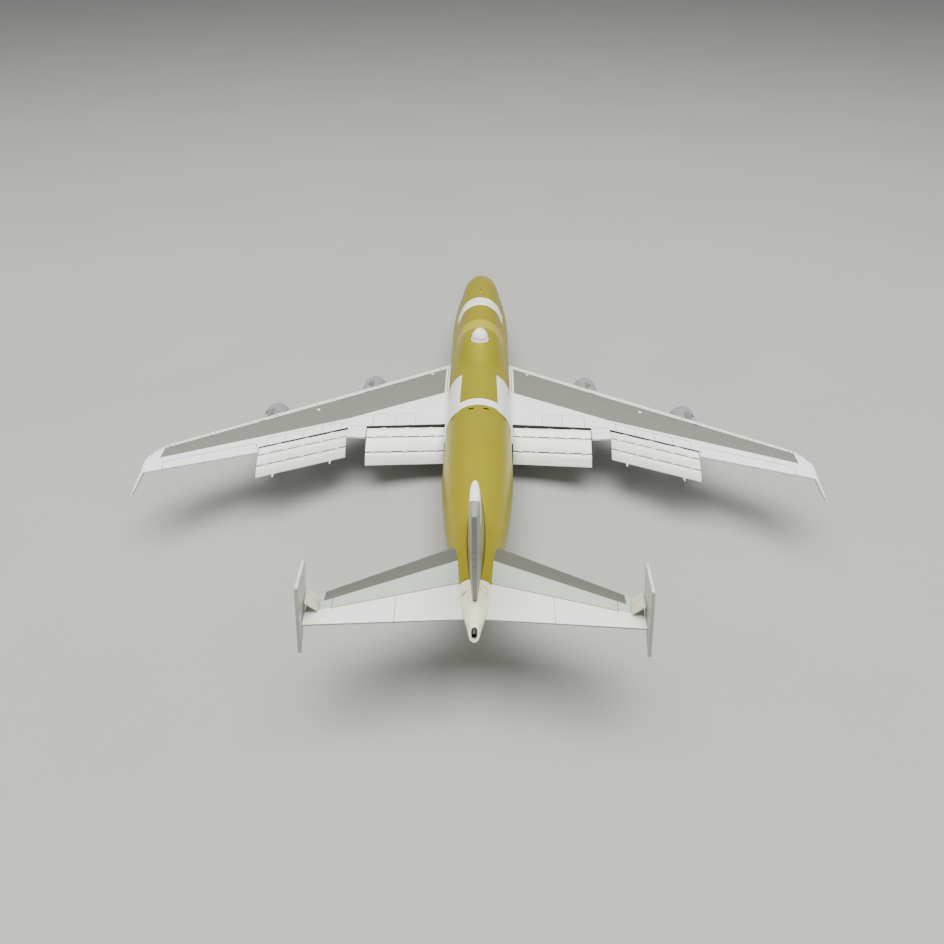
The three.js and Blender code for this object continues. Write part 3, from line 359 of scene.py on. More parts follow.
def placed(tree):
    """The place on the model in millimetres: distance from the middle, distance aft, and height."""
    x, y, z = [node(tree, "SeparateXYZ", (node(tree, "TexCoord", out=3),), out=i) for i in range(3)]
    side = calc(tree, "MULTIPLY", calc(tree, "ABSOLUTE", x), 1 / MM)
    aft = calc(tree, "MULTIPLY_ADD", y, -1 / MM, nose_y)
    return node(tree, "CombineXYZ", (side, aft, calc(tree, "MULTIPLY", z, 1 / MM)))


def along(tree, place, way):
    return node(tree, "VectorMath", (place, way), out=1, operation="DOT_PRODUCT")


def between(tree, place, way, low, high):
    """1 where the distance along a direction lies between two limits."""
    middle, half = (low + high) / 2, (high - low) / 2
    return calc(tree, "COMPARE", along(tree, place, way), middle, half)


def facing(tree, axis, limit, way="GREATER_THAN"):
    """1 where the surface's normal lies past a limit along an axis: 1 is forward, 2 is up."""
    normal = node(tree, "SeparateXYZ", (node(tree, "TexCoord", out=1),), out=axis)
    return calc(tree, way, normal, limit)


def all_of(tree, first, *others):
    for other in others:
        first = calc(tree, "MULTIPLY", first, other)
    return first


def any_of(tree, first, *others):
    for other in others:
        first = calc(tree, "MAXIMUM", first, other)
    return first


def within(tree, place, **limits):
    """1 inside a box, given by pairs of limits in the directions out, aft and up."""
    ways = {"out": (1, 0, 0), "aft": (0, 1, 0), "up": (0, 0, 1)}
    return all_of(tree, *[between(tree, place, ways[key], *pair) for key, pair in limits.items()])


def strip(tree, place, start, end, width):
    """1 on a painted or scribed line between two (side, aft) points seen from above."""
    (x0, s0), (x1, s1) = start, end
    length = math.hypot(x1 - x0, s1 - s0)
    way = ((x1 - x0) / length, (s1 - s0) / length, 0)
    across = (-way[1], way[0], 0)
    first = way[0] * x0 + way[1] * s0
    middle = across[0] * x0 + across[1] * s0
    on_line = between(tree, place, across, middle - width / 2, middle + width / 2)
    return all_of(tree, on_line, between(tree, place, way, first, first + length))


def strips(tree, place, width, lines):
    return [strip(tree, place, start, end, width) for start, end in lines]


dust_colour = "8b8578"
wear_colour = "5c5a50"
flake_colour = "e8d890"


def finish(
    piece, name, colour, rough, metal=0.0, marks=None,
    grime=0.12, peel=0.05, flake=0.0, coat=0.0, gloss=0.5,
):
    """Gives a piece a sprayed finish: cloudy colour, dust, orange peel, metal flake, and its marks.

    The marks function gets the tree and the place, and lists (mask, colour, roughness, metal, depth),
    where the colour, the roughness or the metal may be None to stay as it is."""
    paint = bpy.data.materials.new(name)
    paint.use_nodes = True
    tree = paint.node_tree
    surface = tree.nodes["Principled BSDF"]
    place = placed(tree)
    cloud = noise(tree, place, 0.045, 4, 0.6, 1.3)
    mottle = noise(tree, place, 0.6, 3, 0.6, 4.7)
    base = linear(colour)
    deep = [c * (1 - grime) for c in base[:3]] + [1]
    shade = blend(tree, spread(tree, cloud, 0.3, 0.7, 0, 1), base, deep)
    dull = calc(tree, "MULTIPLY_ADD", spread(tree, mottle, 0.3, 0.7, -1, 1), 0.05, rough)
    shine = node(tree, "Value")
    shine.default_value = metal
    height = calc(tree, "MULTIPLY", noise(tree, place, 1.6, 2, 0.5, 8.1), peel)
    if flake:
        sparkle = noise(tree, place, 14, 1, 0.4, 2.2)
        shade = blend(tree, spread(tree, sparkle, 0.45, 0.75, 0, flake), shade, linear(flake_colour))
        dull = calc(tree, "MULTIPLY_ADD", spread(tree, sparkle, 0.4, 0.7, 0, 1), -0.08, dull)
    for mask, tint, mark_rough, mark_metal, depth in marks(tree, place) if marks else ():
        if tint is not None:
            worn = blend(tree, calc(tree, "MULTIPLY", cloud, grime), linear(tint), linear(wear_colour))
            shade = blend(tree, mask, shade, worn)
        if mark_rough is not None:
            dull = node(tree, "Mix", {0: mask, 2: dull, 3: mark_rough})
        if mark_metal is not None:
            shine = node(tree, "Mix", {0: mask, 2: shine, 3: mark_metal})
        if depth:
            height = calc(tree, "MULTIPLY_ADD", mask, -depth, height)
    speck = noise(tree, place, 2.3, 5, 0.7, 6.4)
    dust = spread(tree, speck, 0.62, 0.8, 0, 0.25)
    shade = blend(tree, dust, shade, blend(tree, 0.5, shade, linear(dust_colour)))
    tree.links.new(shade, surface.inputs["Base Color"])
    tree.links.new(dull, surface.inputs["Roughness"])
    tree.links.new(shine, surface.inputs["Metallic"])
    surface.inputs["Specular IOR Level"].default_value = gloss
    surface.inputs["Coat Weight"].default_value = coat
    surface.inputs["Coat Roughness"].default_value = 0.15
    bump = node(tree, "Bump", {"Strength": 0.6, "Distance": MM, "Height": height})
    tree.links.new(bump, surface.inputs["Normal"])
    piece.data.materials.clear()
    piece.data.materials.append(paint)
    return paint


hull_sides = 112
nose_steps = 34
stations = []
for i in range(nose_steps + 1):
    share = i / nose_steps
    stations.append(nose_length * (1 - math.cos(math.pi / 2 * share)) + nose_gap * (1 - share))
stations[0] = nose_gap + 0.003
while stations[-1] < joint_station - 3:
    stations.append(stations[-1] + 2.8)
stations[-1] = joint_station
shell = loft("fuselage", [hull_ring(s, hull_sides) for s in stations], 50)

band = (75.9, 86.3)
band_foot = 36.8
light_band = (106.0, 116.0)
panel = (155.0, 190.6)
panel_inner = 9.2
cross_band = (183.6, 189.6)
slot_station = 192.7
slot_length = 1.1
slot_depth = 1.2
side_slot_lean = 52
seam_stations = (23, 46, 137, 214, 243, 272)
# middle and half length of the painted shade round the fin's root
fin_root_shade_middle = 290
fin_root_shade_half = 33
crown_z = axis_z + hull_radius
for side in (-1, 1):
    cut(shell, box(side * 3.6, slot_station, crown_z, 2.6, slot_length, 2 * slot_depth))
    turn = (0, side * side_slot_lean, 0)
    cut(shell, box(side * 13.0, slot_station - 0.6, 37.0, 3.4, slot_length, 2 * slot_depth, turn))
gear_leg_low, gear_leg_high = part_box("nose_gear_leg")
leg_x = (gear_leg_low.x + gear_leg_high.x) / 2 / MM
leg_station = nose_y - (gear_leg_low.y + gear_leg_high.y) / 2 / MM
well_radius = 1.5 * MM
well_depth = 6.3 * MM
well_top = gear_leg_high.z + 0.0004
well_middle = at(leg_x, leg_station, 0) + Vector((0, 0, well_top - well_depth))
bpy.ops.object.select_all(action="DESELECT")
bpy.ops.mesh.primitive_cylinder_add(
    vertices=48, radius=well_radius, depth=2 * well_depth, location=well_middle
)
cut(shell, settle())


def hull_marks(tree, place):
    """Masked bands and panels, scribed seams, dark vents, and painted shade along the fin's root."""
    light = within(tree, place, aft=light_band, up=(band_foot, 60))
    forward = within(tree, place, aft=band, up=(band_foot, 60))
    flank = all_of(
        tree,
        within(tree, place, aft=panel, up=(18, 60)),
        between(tree, place, (1, -0.016, 0), panel_inner - 2.8, 60),
    )
    rear = within(tree, place, aft=cross_band, out=(-1, panel_inner + 0.8))
    slot_end = slot_station + 0.6
    vents = any_of(
        tree,
        within(tree, place, out=(2.35, 4.85), aft=(slot_station - 0.6, slot_end), up=(33, crown_z)),
        all_of(
            tree,
            within(tree, place, aft=(slot_station - 1.2, slot_end), up=(35, 39)),
            between(tree, place, (0.788, 0, 0.616), 30, 32.1),
        ),
    )
    # painted shade: the lowest part of the hull is painted a darker gold
    belly = within(tree, place, up=(-1, 17))
    seams = any_of(tree, *[within(tree, place, aft=(s - 0.07, s + 0.07)) for s in seam_stations])
    # painted shade: a dark lens-shaped band on the hull just outside the fin's root, where fin and hull
    # meet
    aft = along(tree, place, (0, 1, 0))
    run = calc(tree, "MULTIPLY_ADD", aft, 1 / fin_root_shade_half, -fin_root_shade_middle / fin_root_shade_half)
    reach = calc(tree, "MULTIPLY_ADD", calc(tree, "MULTIPLY", run, run), -3.1, 3.7)
    root = calc(tree, "LESS_THAN", along(tree, place, (1, 0, 0)), reach)
    root = all_of(tree, root, within(tree, place, up=(40, 60)))
    return [
        (light, "aea226", 0.4, 0.25, 0),
        (seams, "8a7a10", 0.5, 0.3, 0.1),
        (belly, "7a7008", 0.42, 0.3, 0),
        (forward, "e4e7d6", 0.34, 0, -0.05),
        (flank, "d6dcd4", 0.34, 0, -0.05),
        (rear, "e6e9dc", 0.34, 0, -0.05),
        (root, "4a3f14", 0.6, 0.1, 0),
        (vents, "1d1b16", 0.7, 0, 0),
    ]


finish(shell, "gold_primer_hull", "8e8404", 0.42, 0.3, hull_marks, grime=0.1, flake=0.1, gloss=0.3)
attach(shell, "airframe")
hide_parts("fuselage_shell")

# ---------------- dome on the crown
# A white moulded radome for a satellite aerial, shaped like half an egg with its blunt end aft. It
# is a separate pressing with a thin flange round its foot, glued to the crown.


def join(name, pieces):
    activate(pieces[0])
    for piece in pieces[1:]:
        piece.select_set(True)
    if len(pieces) > 1:
        bpy.ops.object.join()
    joined = bpy.context.object
    joined.name = name
    joined.data.name = name
    return joined


dome_low, dome_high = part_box("satcom_dome")
dome_front = nose_y - dome_high.y / MM
dome_rear = nose_y - dome_low.y / MM
dome_half = dome_high.x / MM
dome_top = dome_high.z / MM
dome_foot = dome_top - 5.2
dome_widest = 0.66
flange = 0.35


def dome_skin(name, top, foot, inset):
    rings = []
    steps = 40
    for i in range(steps + 1):
        share = (1 - math.cos(math.pi * i / steps)) / 2
        if share < dome_widest:
            full = max(1 - ((dome_widest - share) / dome_widest) ** 2.0, 0) ** 0.62
        else:
            full = max(1 - ((share - dome_widest) / (1 - dome_widest)) ** 2.8, 0) ** 0.5
        half = max((dome_half - inset) * full, 0.01)
        tall = (top - foot) * full**1.15
        station = lerp(dome_front + inset, dome_rear - inset, share)
        ring = []
        for across, up in circle(64):
            lift = tall * up if up > 0 else 0.9 * up * full
            ring.append(at(across * half, station, foot + lift))
        rings.append(ring)
    return loft(name, rings, 60)


shell_dome = dome_skin("dome", dome_top, dome_foot, flange)
dome_flange = dome_skin("dome_flange", dome_foot + 1.35, dome_foot - 0.2, 0.0)
dome = join("radome", [shell_dome, dome_flange])


def dome_marks(tree, place):
    seam = within(tree, place, up=(dome_foot + 1.25, dome_foot + 1.45))
    return [(seam, "a7aaa2", 0.5, None, 0.08)]


finish(dome, "white_radome", "eef1ea", 0.3, 0, dome_marks, grime=0.05, coat=0.3)
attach(dome, "airframe")
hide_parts("satcom_dome")

# ---------------- crown aerials and beacon
# Small die-cast fittings on the centre line: a cream swept blade aerial ahead of the front band,
# and a red anti-collision beacon in front of it. They are glued on.


def blade(name, station, foot, length, tall, thick):
    """A swept aerial with a lens-shaped section, thinner towards its tip."""
    rings = []
    for share in (0, 0.5, 0.85, 1):
        lead = lerp(station, station + 0.55 * length, share)
        trail = lerp(station + length, station + 1.15 * length, share)
        middle = (lead + trail) / 2
        half = (trail - lead) / 2 * (1 if share < 1 else 0.7)
        ring = []
        for ahead, across in circle(20):
            x = across * abs(across) * thick / 2 * (1 - 0.5 * share)
            ring.append(at(x, middle - ahead * half, foot + tall * share))
        rings.append(ring)
    return loft(name, rings, 50)


def crown_at(station):
    (_, tall, middle), (_, deck_tall, deck_middle) = hull_lines(station)
    deck = deck_middle + deck_tall if station < deck_end + deck_fade else 0
    return max(middle + tall, deck)


aerial = blade("crown_aerial", 67.4, crown_at(68) - 0.3, 2.6, 1.5, 0.5)
finish(aerial, "cream_aerial", "e2dcc0", 0.4, 0, None)
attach(aerial, "airframe")
beacon_profile = [
    (0.05, 0.75), (0.3, 0.7), (0.5, 0.45), (0.55, 0.15), (0.75, 0.1), (0.75, -0.4), (0.05, -0.4),
]
beacon = turned("beacon", beacon_profile, at(0, 65, crown_at(65)), "z", 32)
finish(beacon, "red_beacon", "8a3a16", 0.2, 0, None, coat=0.6)
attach(beacon, "airframe")

# ---------------- tail cone
# The cream tail cone is its own casting, plugged into the fuselage. It ends in a slanted exhaust
# opening with a pointed lower lip, and carries a dark outlet slit and a red-brown door outline.

cone_start = joint_station + 0.3
lip_shear = 2.0
lip_run = 12.0
cone_rings = []
cone_steps = 26
for i in range(cone_steps + 1):
    station = lerp(cone_start, hull_length - lip_shear, i / cone_steps)
    shear = lip_shear * smooth(station, hull_length - lip_run, hull_length - lip_shear)
    (_, tall, middle), _ = hull_lines(station)
    ring = []
    for point in hull_ring(station, 96):
        low = clamp((middle - point.z / MM) / tall, -1, 1)
        ring.append(point - Vector((0, shear * low * MM, 0)))
    cone_rings.append(ring)
mouth = cone_rings[-1]
mouth_middle = sum(mouth, Vector()) / len(mouth)
cone_rings.append([lerp(p, mouth_middle, 0.12) - Vector((0, 0.05 * MM, 0)) for p in mouth])
cone = loft("cone", cone_rings, 50)
outlet_low, outlet_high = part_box("apu_outlet")
outlet_z = (outlet_low.z + outlet_high.z) / 2 / MM
hole_profile = [(0.05, 4), (1.15, 4), (1.15, -6), (0.05, -6)]
hole = turned("hole", hole_profile, at(0, hull_length, outlet_z + 0.2), "y", 48)
cut(cone, hole)
cut(cone, box(-3.95, 320.6, 40.7, 1.9, 0.5, 1.0, (0, 43, -35)))


door_corners = ((2.7, 317.0), (4.7, 318.0), (3.9, 321.4), (2.0, 319.4), (2.7, 317.0))
door_widths = (0.2, 0.16, 0.16, 0.16)


def cone_marks(tree, place):
    x = node(tree, "SeparateXYZ", (node(tree, "TexCoord", out=3),), out=0)
    side = calc(tree, "MULTIPLY", x, 1 / MM)
    aft, up = along(tree, place, (0, 1, 0)), along(tree, place, (0, 0, 1))
    signed = node(tree, "CombineXYZ", (side, aft, up))
    on_top = within(tree, place, up=(39, 50))
    lines = zip(door_corners, door_corners[1:], door_widths)
    outline = any_of(tree, *[strip(tree, signed, *line) for line in lines])
    slit = strip(tree, signed, (-4.7, 321.4), (-3.2, 319.8), 0.55)
    ring = within(tree, place, aft=(336.2, 336.4))
    return [
        (all_of(tree, outline, on_top), "7a3a28", 0.5, 0, 0),
        (all_of(tree, slit, on_top), "2a2824", 0.6, 0, 0),
        (ring, "a39c84", 0.5, 0, 0.06),
    ]


finish(cone, "cream_cone", "e6dfc0", 0.4, 0, cone_marks, grime=0.08, coat=0.1)
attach(cone, "airframe")
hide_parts("tail_cone")

# ---------------- exhaust outlet in the tail cone
# A short turned tube of dark metal, pressed into the end of the tail cone. Its bore is blind, with
# a small domed baffle inside.

outlet_profile = [
    (0.05, 2.4), (1.0, 2.4), (1.0, -1.2), (0.92, -1.3),
    (0.78, -1.2), (0.75, 0.9), (0.4, 0.7), (0.05, 0.5),
]
outlet = turned("outlet_tube", outlet_profile, at(0, hull_length - 2.1, outlet_z + 0.2), "y", 48)
finish(outlet, "dark_outlet", "3b3833", 0.45, 0.7, None)
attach(outlet, "airframe")
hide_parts("apu_outlet")

# ---------------- fin
# A tall swept fin cast in one piece and tongued into the fuselage. Its sides are gold, its cap is
# cream white, and the rudder is left in grey; the rudder's joint and its split are scribed.

def foil_bulge(chord, thick, edge):
    """How thick an aerofoil is at a share of its chord, with a square trailing edge."""
    return 2.6 * math.sqrt(chord) * (1 - chord) * thick + chord * edge


def foil(lead, trail, up, thick, edge, steps=26, upper=0.5):
    """An aerofoil ring from the trailing edge over the top to the nose and back underneath."""
    ring = []
    for i in range(2 * steps + 1):
        above = i <= steps
        chord = (1 + math.cos(math.pi * i / steps)) / 2
        bulge = foil_bulge(chord, thick, edge)
        if i == 2 * steps:
            chord, bulge = 1, edge
        ring.append(lead.lerp(trail, chord) + up * (bulge * (upper if above else upper - 1) * MM))
    return ring


# nose station, tail station, height and thickness
fin_root = (257.0, 323.0, 36.0, 6.2)
fin_trail = nose_y - fin_low.y / MM
fin_tip = (327.3, fin_trail, fin_high.z / MM, 2.6)
fin_edge = 1.6


def fin_at(z):
    share = (z - fin_root[2]) / (fin_tip[2] - fin_root[2])
    return [lerp(a, b, share) for a, b in zip(fin_root, fin_tip)]


def fin_ring(lead, trail, z, thick, edge):
    return foil(at(0, lead, z), at(0, trail, z), Vector((1, 0, 0)), thick, edge)


fin_top = fin_tip[2] - 1.0
fin_rings = [fin_ring(*fin_at(lerp(40.5, fin_top, i / 29)), fin_edge) for i in range(30)]
for turn in (20, 40, 60, 75, 86):
    up, out = math.sin(math.radians(turn)), math.cos(math.radians(turn))
    lead, trail, z, thick = fin_at(fin_top + up)
    lead += 3.2 * (1 - out)
    trail -= 0.4 * (1 - out)
    fin_rings.append(fin_ring(lead, trail, z, thick * out, fin_edge * out))
fin = loft("fin_skin", fin_rings, 40)

rudder_root = 309.5
rudder_tip = 338.6
rudder_way = (0, fin_tip[2] - fin_root[2], -(rudder_tip - rudder_root))
rudder_level = rudder_root * rudder_way[1] + fin_root[2] * rudder_way[2]
rudder_scale = math.hypot(*rudder_way)
fin_cap = 84.0


def fin_marks(tree, place):
    way = tuple(w / rudder_scale for w in rudder_way)
    level = rudder_level / rudder_scale
    cap_way = (0, 0.36, 1)
    cap_level = 0.36 * 330 + fin_cap
    rudder = between(tree, place, way, level, level + 90)
    hinge = between(tree, place, way, level - 0.14, level + 0.14)
    split = all_of(tree, rudder, within(tree, place, up=(66.6, 66.85)))
    cap = between(tree, place, cap_way, cap_level - 5, 400)
    box_line = between(tree, place, way, level - 15.1, level - 14.9)
    tip_joint = between(tree, place, cap_way, cap_level - 5.2, cap_level - 5)
    return [
        (box_line, "867408", 0.5, 0.2, 0.06),
        (cap, "eceddb", 0.34, 0, 0),
        (rudder, "868880", 0.42, 0.05, 0),
        (any_of(tree, hinge, split, tip_joint), "3b3a30", 0.6, 0, 0.3),
    ]


finish(fin, "gold_primer_fin", "90860a", 0.42, 0.25, fin_marks, grime=0.1, flake=0.1, gloss=0.3)
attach(fin, "airframe")
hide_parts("fin")

# ---------------- wings
# Each wing is one casting with a tongue into the fuselage, cut away at the back where its flaps
# hang. It is sprayed white, with a grey walkway panel over most of its top, scribed slats along the
# nose, spoiler and aileron joints, and small dots at the fuel and tie-down points.


def copied(piece, name, change):
    """A copy with its own mesh, changed within the mesh, so that its origin stays the frame's."""
    activate(piece)
    bpy.ops.object.duplicate()
    copy = bpy.context.object
    copy.name = name
    copy.data.name = name
    bpy.ops.object.mode_set(mode="EDIT")
    bpy.ops.mesh.select_all(action="SELECT")
    change()
    bpy.ops.object.mode_set(mode="OBJECT")
    return copy


def flip():
    bpy.ops.transform.resize(value=(-1, 1, 1), center_override=(0, 0, 0))
    bpy.ops.mesh.normals_make_consistent(inside=False)


def mirrored(piece, name):
    """A copy on the other side of the centre plane, with its faces turned right."""
    return copied(piece, name, flip)


_, wing_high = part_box("wing_right")
root_x = 17.0
kink_x = 64.0
tip_x = wing_high.x / MM - 0.2
root_z = 20.8
dihedral = math.radians(7)
wing_lead = (108.0, 220.8)
# at the root, the kink and the tip
wing_trail = (189.5, 193.6, 240.6)
wing_thick = (9.5, 5.2, 2.6)
wing_edge = 0.8
upper_share = 0.42
corner_run = 6.0
corner_drop = 5.0
wing_up = Vector((-math.sin(dihedral), 0, math.cos(dihedral)))


def wing_z(x):
    return root_z + math.tan(dihedral) * (x - root_x)


def lead_of(x):
    return lerp(*wing_lead, (x - root_x) / (tip_x - root_x))


def by_span(x, root, kink, tip):
    if x < kink_x:
        return lerp(root, kink, (x - root_x) / (kink_x - root_x))
    return lerp(kink, tip, (x - kink_x) / (tip_x - kink_x))


def wing_ring(x, squeeze=1.0):
    corner = clamp((x - tip_x + corner_run) / corner_run)
    lead = lead_of(x) + corner_drop * (1 - math.sqrt(max(1 - corner**2, 0)))
    trail = by_span(x, *wing_trail)
    thick = by_span(x, *wing_thick) * squeeze
    edge = wing_edge * squeeze
    return foil(at(x, lead, wing_z(x)), at(x, trail, wing_z(x)), wing_up, thick, edge, 30, upper_share)


def wing_face(x, station, above=True):
    """Height of the wing's top or underside at a place."""
    chord = clamp((station - lead_of(x)) / (by_span(x, *wing_trail) - lead_of(x)), 0.001)
    bulge = foil_bulge(chord, by_span(x, *wing_thick), wing_edge)
    return wing_z(x) + bulge * (upper_share if above else upper_share - 1)


wing_spans = [lerp(9.0, kink_x, i / 20) for i in range(21)]
wing_spans += [lerp(kink_x, tip_x - corner_run, i / 26) for i in range(1, 27)]
wing_rings = [wing_ring(x) for x in wing_spans]
for turn in (15, 30, 45, 58, 70, 80, 88):
    reach = math.sin(math.radians(turn))
    squeeze = 1 - 0.75 * clamp((reach - 0.93) / 0.07)
    wing_rings.append(wing_ring(tip_x - corner_run + corner_run * reach, squeeze))
wing = loft("wing_skin_right", wing_rings, 40)

flaps = {
    "inboard": {
        "span": (17.4, 55.6), "front": (174.8, 183.9),
        "chords": (5.8, 8.2, 6.2), "droops": (20, 32, 50), "tracks": False, "fairings": (0.24, 0.76),
    },
    "outboard": {
        "span": (64.9, 102.6), "front": (187.0, 211.6),
        "chords": (4.6, 5.9, 5.2), "droops": (16, 27, 38), "tracks": True, "fairings": (0.18, 0.82),
    },
}
bay_gap = 0.3


def front_of(flap, x):
    return lerp(*flap["front"], (x - flap["span"][0]) / (flap["span"][1] - flap["span"][0]))


for flap in flaps.values():
    first, last = flap["span"][0] - bay_gap, flap["span"][1] + bay_gap
    ahead, behind = front_of(flap, first), front_of(flap, last)
    corners = [(first, ahead), (last, behind), (last, behind + 60), (first, ahead + 60)]
    bay = loft("bay", [[at(x, s, z) for x, s in corners] for z in (-5, 70)])
    cut(wing, bay)
gear_socket = at(27.5, 159.0, wing_face(27.5, 159.0, False))
socket_profile = [(0.05, -3.0), (1.6, -3.0), (1.6, 3.0), (0.05, 3.0)]
cut(wing, turned("socket", socket_profile, gear_socket, "z", 40))

slat_rear = ((17.0, 116.3), (147.4, 225.0))
slat_pitch = 2.2
engine_spans = (59.0, 105.6)
filler_dots = ((26.2, 125.75), (80.9, 174.75))
slat_ends = (24, 41, 55.5, 66, 84, 101.5, 112, 128, 143)
grey_rear = ((17.6, 145.75), (66, 180.0), (140.85, 228.0))
aileron_lines = (
    ((104.5, 209.5), (141, 231.6)), ((104.5, 209.5), (103.2, 214)),
    ((141, 231.6), (139.6, 238.5)), ((56.5, 183.8), (64.2, 185.6)),
)
spoiler_rows = (
    ((32.2, 169.0), (53.0, 173.5), (32.2, 42.1, 53.0)),
    ((67.8, 182.9), (99.9, 203.9), (67.8, 76.3, 84.7, 92.4, 99.9)),
)
spar_lines = (
    ((20, 127.5), (142, 224.6)), ((20, 141.5), (66, 175.2)), ((66, 175.2), (139, 225.6)),
)
rib_spans = (30, 42, 54, 66, 78, 90, 102, 114, 126)


def right_of(tree, place, start, end):
    """1 on the inner side of an edge of a clockwise outline, seen from above."""
    (x0, s0), (x1, s1) = start, end
    length = math.hypot(x1 - x0, s1 - s0)
    way = (-(s1 - s0) / length, (x1 - x0) / length, 0)
    level = way[0] * x0 + way[1] * s0
    return between(tree, place, way, level - 400, level)


def wing_marks(tree, place):
    """The grey walkway, the combed slats, every scribed joint, the dots, and painted shade in the flap
    bays.
    """
    upper = facing(tree, 2, 0.0)
    walkway = any_of(
        tree,
        all_of(tree, right_of(tree, place, *grey_rear[:2]), within(tree, place, out=(17.6, 66))),
        all_of(tree, right_of(tree, place, *grey_rear[1:]), within(tree, place, out=(66, 150))),
    )
    slat = right_of(tree, place, *slat_rear)
    behind_slat = calc(tree, "SUBTRACT", 1, slat)
    grey = all_of(tree, walkway, behind_slat, upper, within(tree, place, out=(18.5, 143)))

    (x0, s0), (x1, s1) = slat_rear
    size = math.hypot(x1 - x0, s1 - s0)
    run = along(tree, place, ((x1 - x0) / size, (s1 - s0) / size, 0))
    comb = calc(tree, "FRACT", calc(tree, "MULTIPLY", run, 1 / slat_pitch))
    comb = all_of(tree, calc(tree, "LESS_THAN", comb, 0.2), slat, upper)
    ends = [((x + 1.0, lead_of(x) - 1.5), (x - 2.4, lead_of(x) + 3.9)) for x in slat_ends]
    joints = all_of(tree, any_of(tree, *strips(tree, place, 0.3, [slat_rear, *ends])), upper)

    scribed = strips(tree, place, 0.24, aileron_lines)
    for start, end, splits in spoiler_rows:
        flap = flaps["inboard" if end[0] < kink_x else "outboard"]
        scribed.append(strip(tree, place, start, end, 0.24))
        for x in splits:
            s = lerp(start[1], end[1], (x - start[0]) / (end[0] - start[0]))
            scribed.append(strip(tree, place, (x, s), (x, front_of(flap, x) + 1), 0.2))

    ribs = []
    for x in rib_spans:
        ribs.append(((x, lead_of(x) + 6), (x - 4.6, lead_of(x) + 13.5 + 0.1 * (66 - x))))
    spars = strips(tree, place, 0.14, spar_lines) + strips(tree, place, 0.12, ribs)
    faint = all_of(tree, any_of(tree, *spars), grey)

    flat = node(tree, "VectorMath", (place, (1, 1, 0)), operation="MULTIPLY")
    dots = []
    for x, station in filler_dots:
        off = node(tree, "VectorMath", (flat, (x, station, 0)), out=1, operation="DISTANCE")
        dots.append(calc(tree, "LESS_THAN", off, 0.85))
    dots = all_of(tree, any_of(tree, *dots), upper)
    root_strip = within(tree, place, out=(17.2, 17.6), aft=(118, 145))
    notches = []
    for x in engine_spans:
        s = lerp(s0, s1, (x - x0) / (x1 - x0))
        notches.append(((x - 1.1, s - 0.95), (x + 1.1, s + 0.95)))
    notches = any_of(tree, *strips(tree, place, 0.9, notches))

    # painted shade: the aft-facing walls of the flap bays, behind the flaps, are painted near black
    bays = []
    for flap in flaps.values():
        (first, last), (front, back) = flap["span"], flap["front"]
        bays.append(within(tree, place, out=(first - 0.4, last + 0.4), aft=(front - 1, back + 1)))
    bay = all_of(tree, any_of(tree, *bays), facing(tree, 1, -0.7, "LESS_THAN"))
    return [
        (grey, "6b6b63", 0.46, 0.05, 0.0),
        (all_of(tree, slat, upper), "e6ebe4", 0.32, 0, 0.0),
        (comb, "9a9f97", 0.5, None, 0.1),
        (faint, "5e5e57", 0.5, None, 0.05),
        (dots, "e8ebe2", 0.4, None, 0.0),
        (joints, "5a5c56", 0.6, None, 0.16),
        (any_of(tree, *scribed), "5c5f58", 0.6, None, 0.2),
        (all_of(tree, root_strip, upper), "7a6a5e", 0.6, None, 0.0),
        (all_of(tree, notches, upper), "3a3a34", 0.6, None, 0.1),
        (bay, "24241f", 0.8, None, 0.0),
    ]


finish(wing, "white_wing", "e4e9e2", 0.34, 0, wing_marks, grime=0.05, coat=0.2)
for hand, piece in (("right", wing), ("left", mirrored(wing, "wing_skin_left"))):
    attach(piece, "airframe")
    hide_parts(f"wing_{hand}")

# ---------------- fairings of the flap tracks
# Slim canoe-shaped pods under the wing cover the flap tracks. Each is a separate white moulding,
# glued to the underside, and stops short of the flap.


def canoe(name, x, front, rear, wide, deep):
    rings = []
    steps = 24
    for i in range(steps + 1):
        share = (1 - math.cos(math.pi * i / steps)) / 2
        full = max(math.sin(math.pi * share**0.75), 0.02) ** 0.6 if i < steps else 0.35
        station = lerp(front, rear, share)
        roof = wing_face(x, min(station, rear), False) + 0.5
        ring = []
        for across, dip in circle(32):
            z = roof - (dip * deep * full if dip > 0 else dip * 0.2)
            ring.append(at(x + across * wide / 2 * full, station, z))
        rings.append(ring)
    return loft(name, rings, 50)


canoes = []
for flap in flaps.values():
    for share in flap["fairings"]:
        x = lerp(*flap["span"], share)
        rear = front_of(flap, x) - 0.5
        canoes.append(canoe("canoe", x, rear - 17, rear, 2.2, 2.4))
canoes_right = join("track_fairings_right", canoes)


def canoe_marks(tree, place):
    return [(between(tree, place, (0.5, 1, 0), 200, 200.3), "8f928a", 0.5, None, 0.1)]


finish(canoes_right, "white_fairing", "dfe4dc", 0.36, 0, canoe_marks, grime=0.08, coat=0.1)
for piece in (canoes_right, mirrored(canoes_right, "track_fairings_left")):
    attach(piece, "airframe")

# ---------------- down-turned tip blades
# A small swept blade hangs from the back of each wing tip. It is a separate moulding, butted to the
# wing's end, with a thin edge and a rounded end.

blade_root_x = tip_x + 0.32
blade_chord = 14.0
blade_reach = Vector((3.6, 9.0, -6.8))
blade_tip_chord = 5.0
blade_up = blade_reach.cross(Vector((0, 1, 0))).normalized() * -1
tip_trail = wing_trail[2]


def blade_ring(share, squeeze=1.0, shrink=0.0):
    x = blade_root_x + blade_reach.x * share
    z = wing_z(tip_x) + blade_reach.z * share
    chord = lerp(blade_chord, blade_tip_chord, share) - shrink
    trail = tip_trail + blade_reach.y * share - shrink * 0.2
    thick = lerp(2.2, 1.2, share) * squeeze
    lead = at(x, trail - chord + 0.6 * math.sin(math.pi * share), z)
    up = Vector((-blade_up.x, 0, abs(blade_up.z)))
    return foil(lead, at(x, trail, z), up, thick, thick / 3, 16)


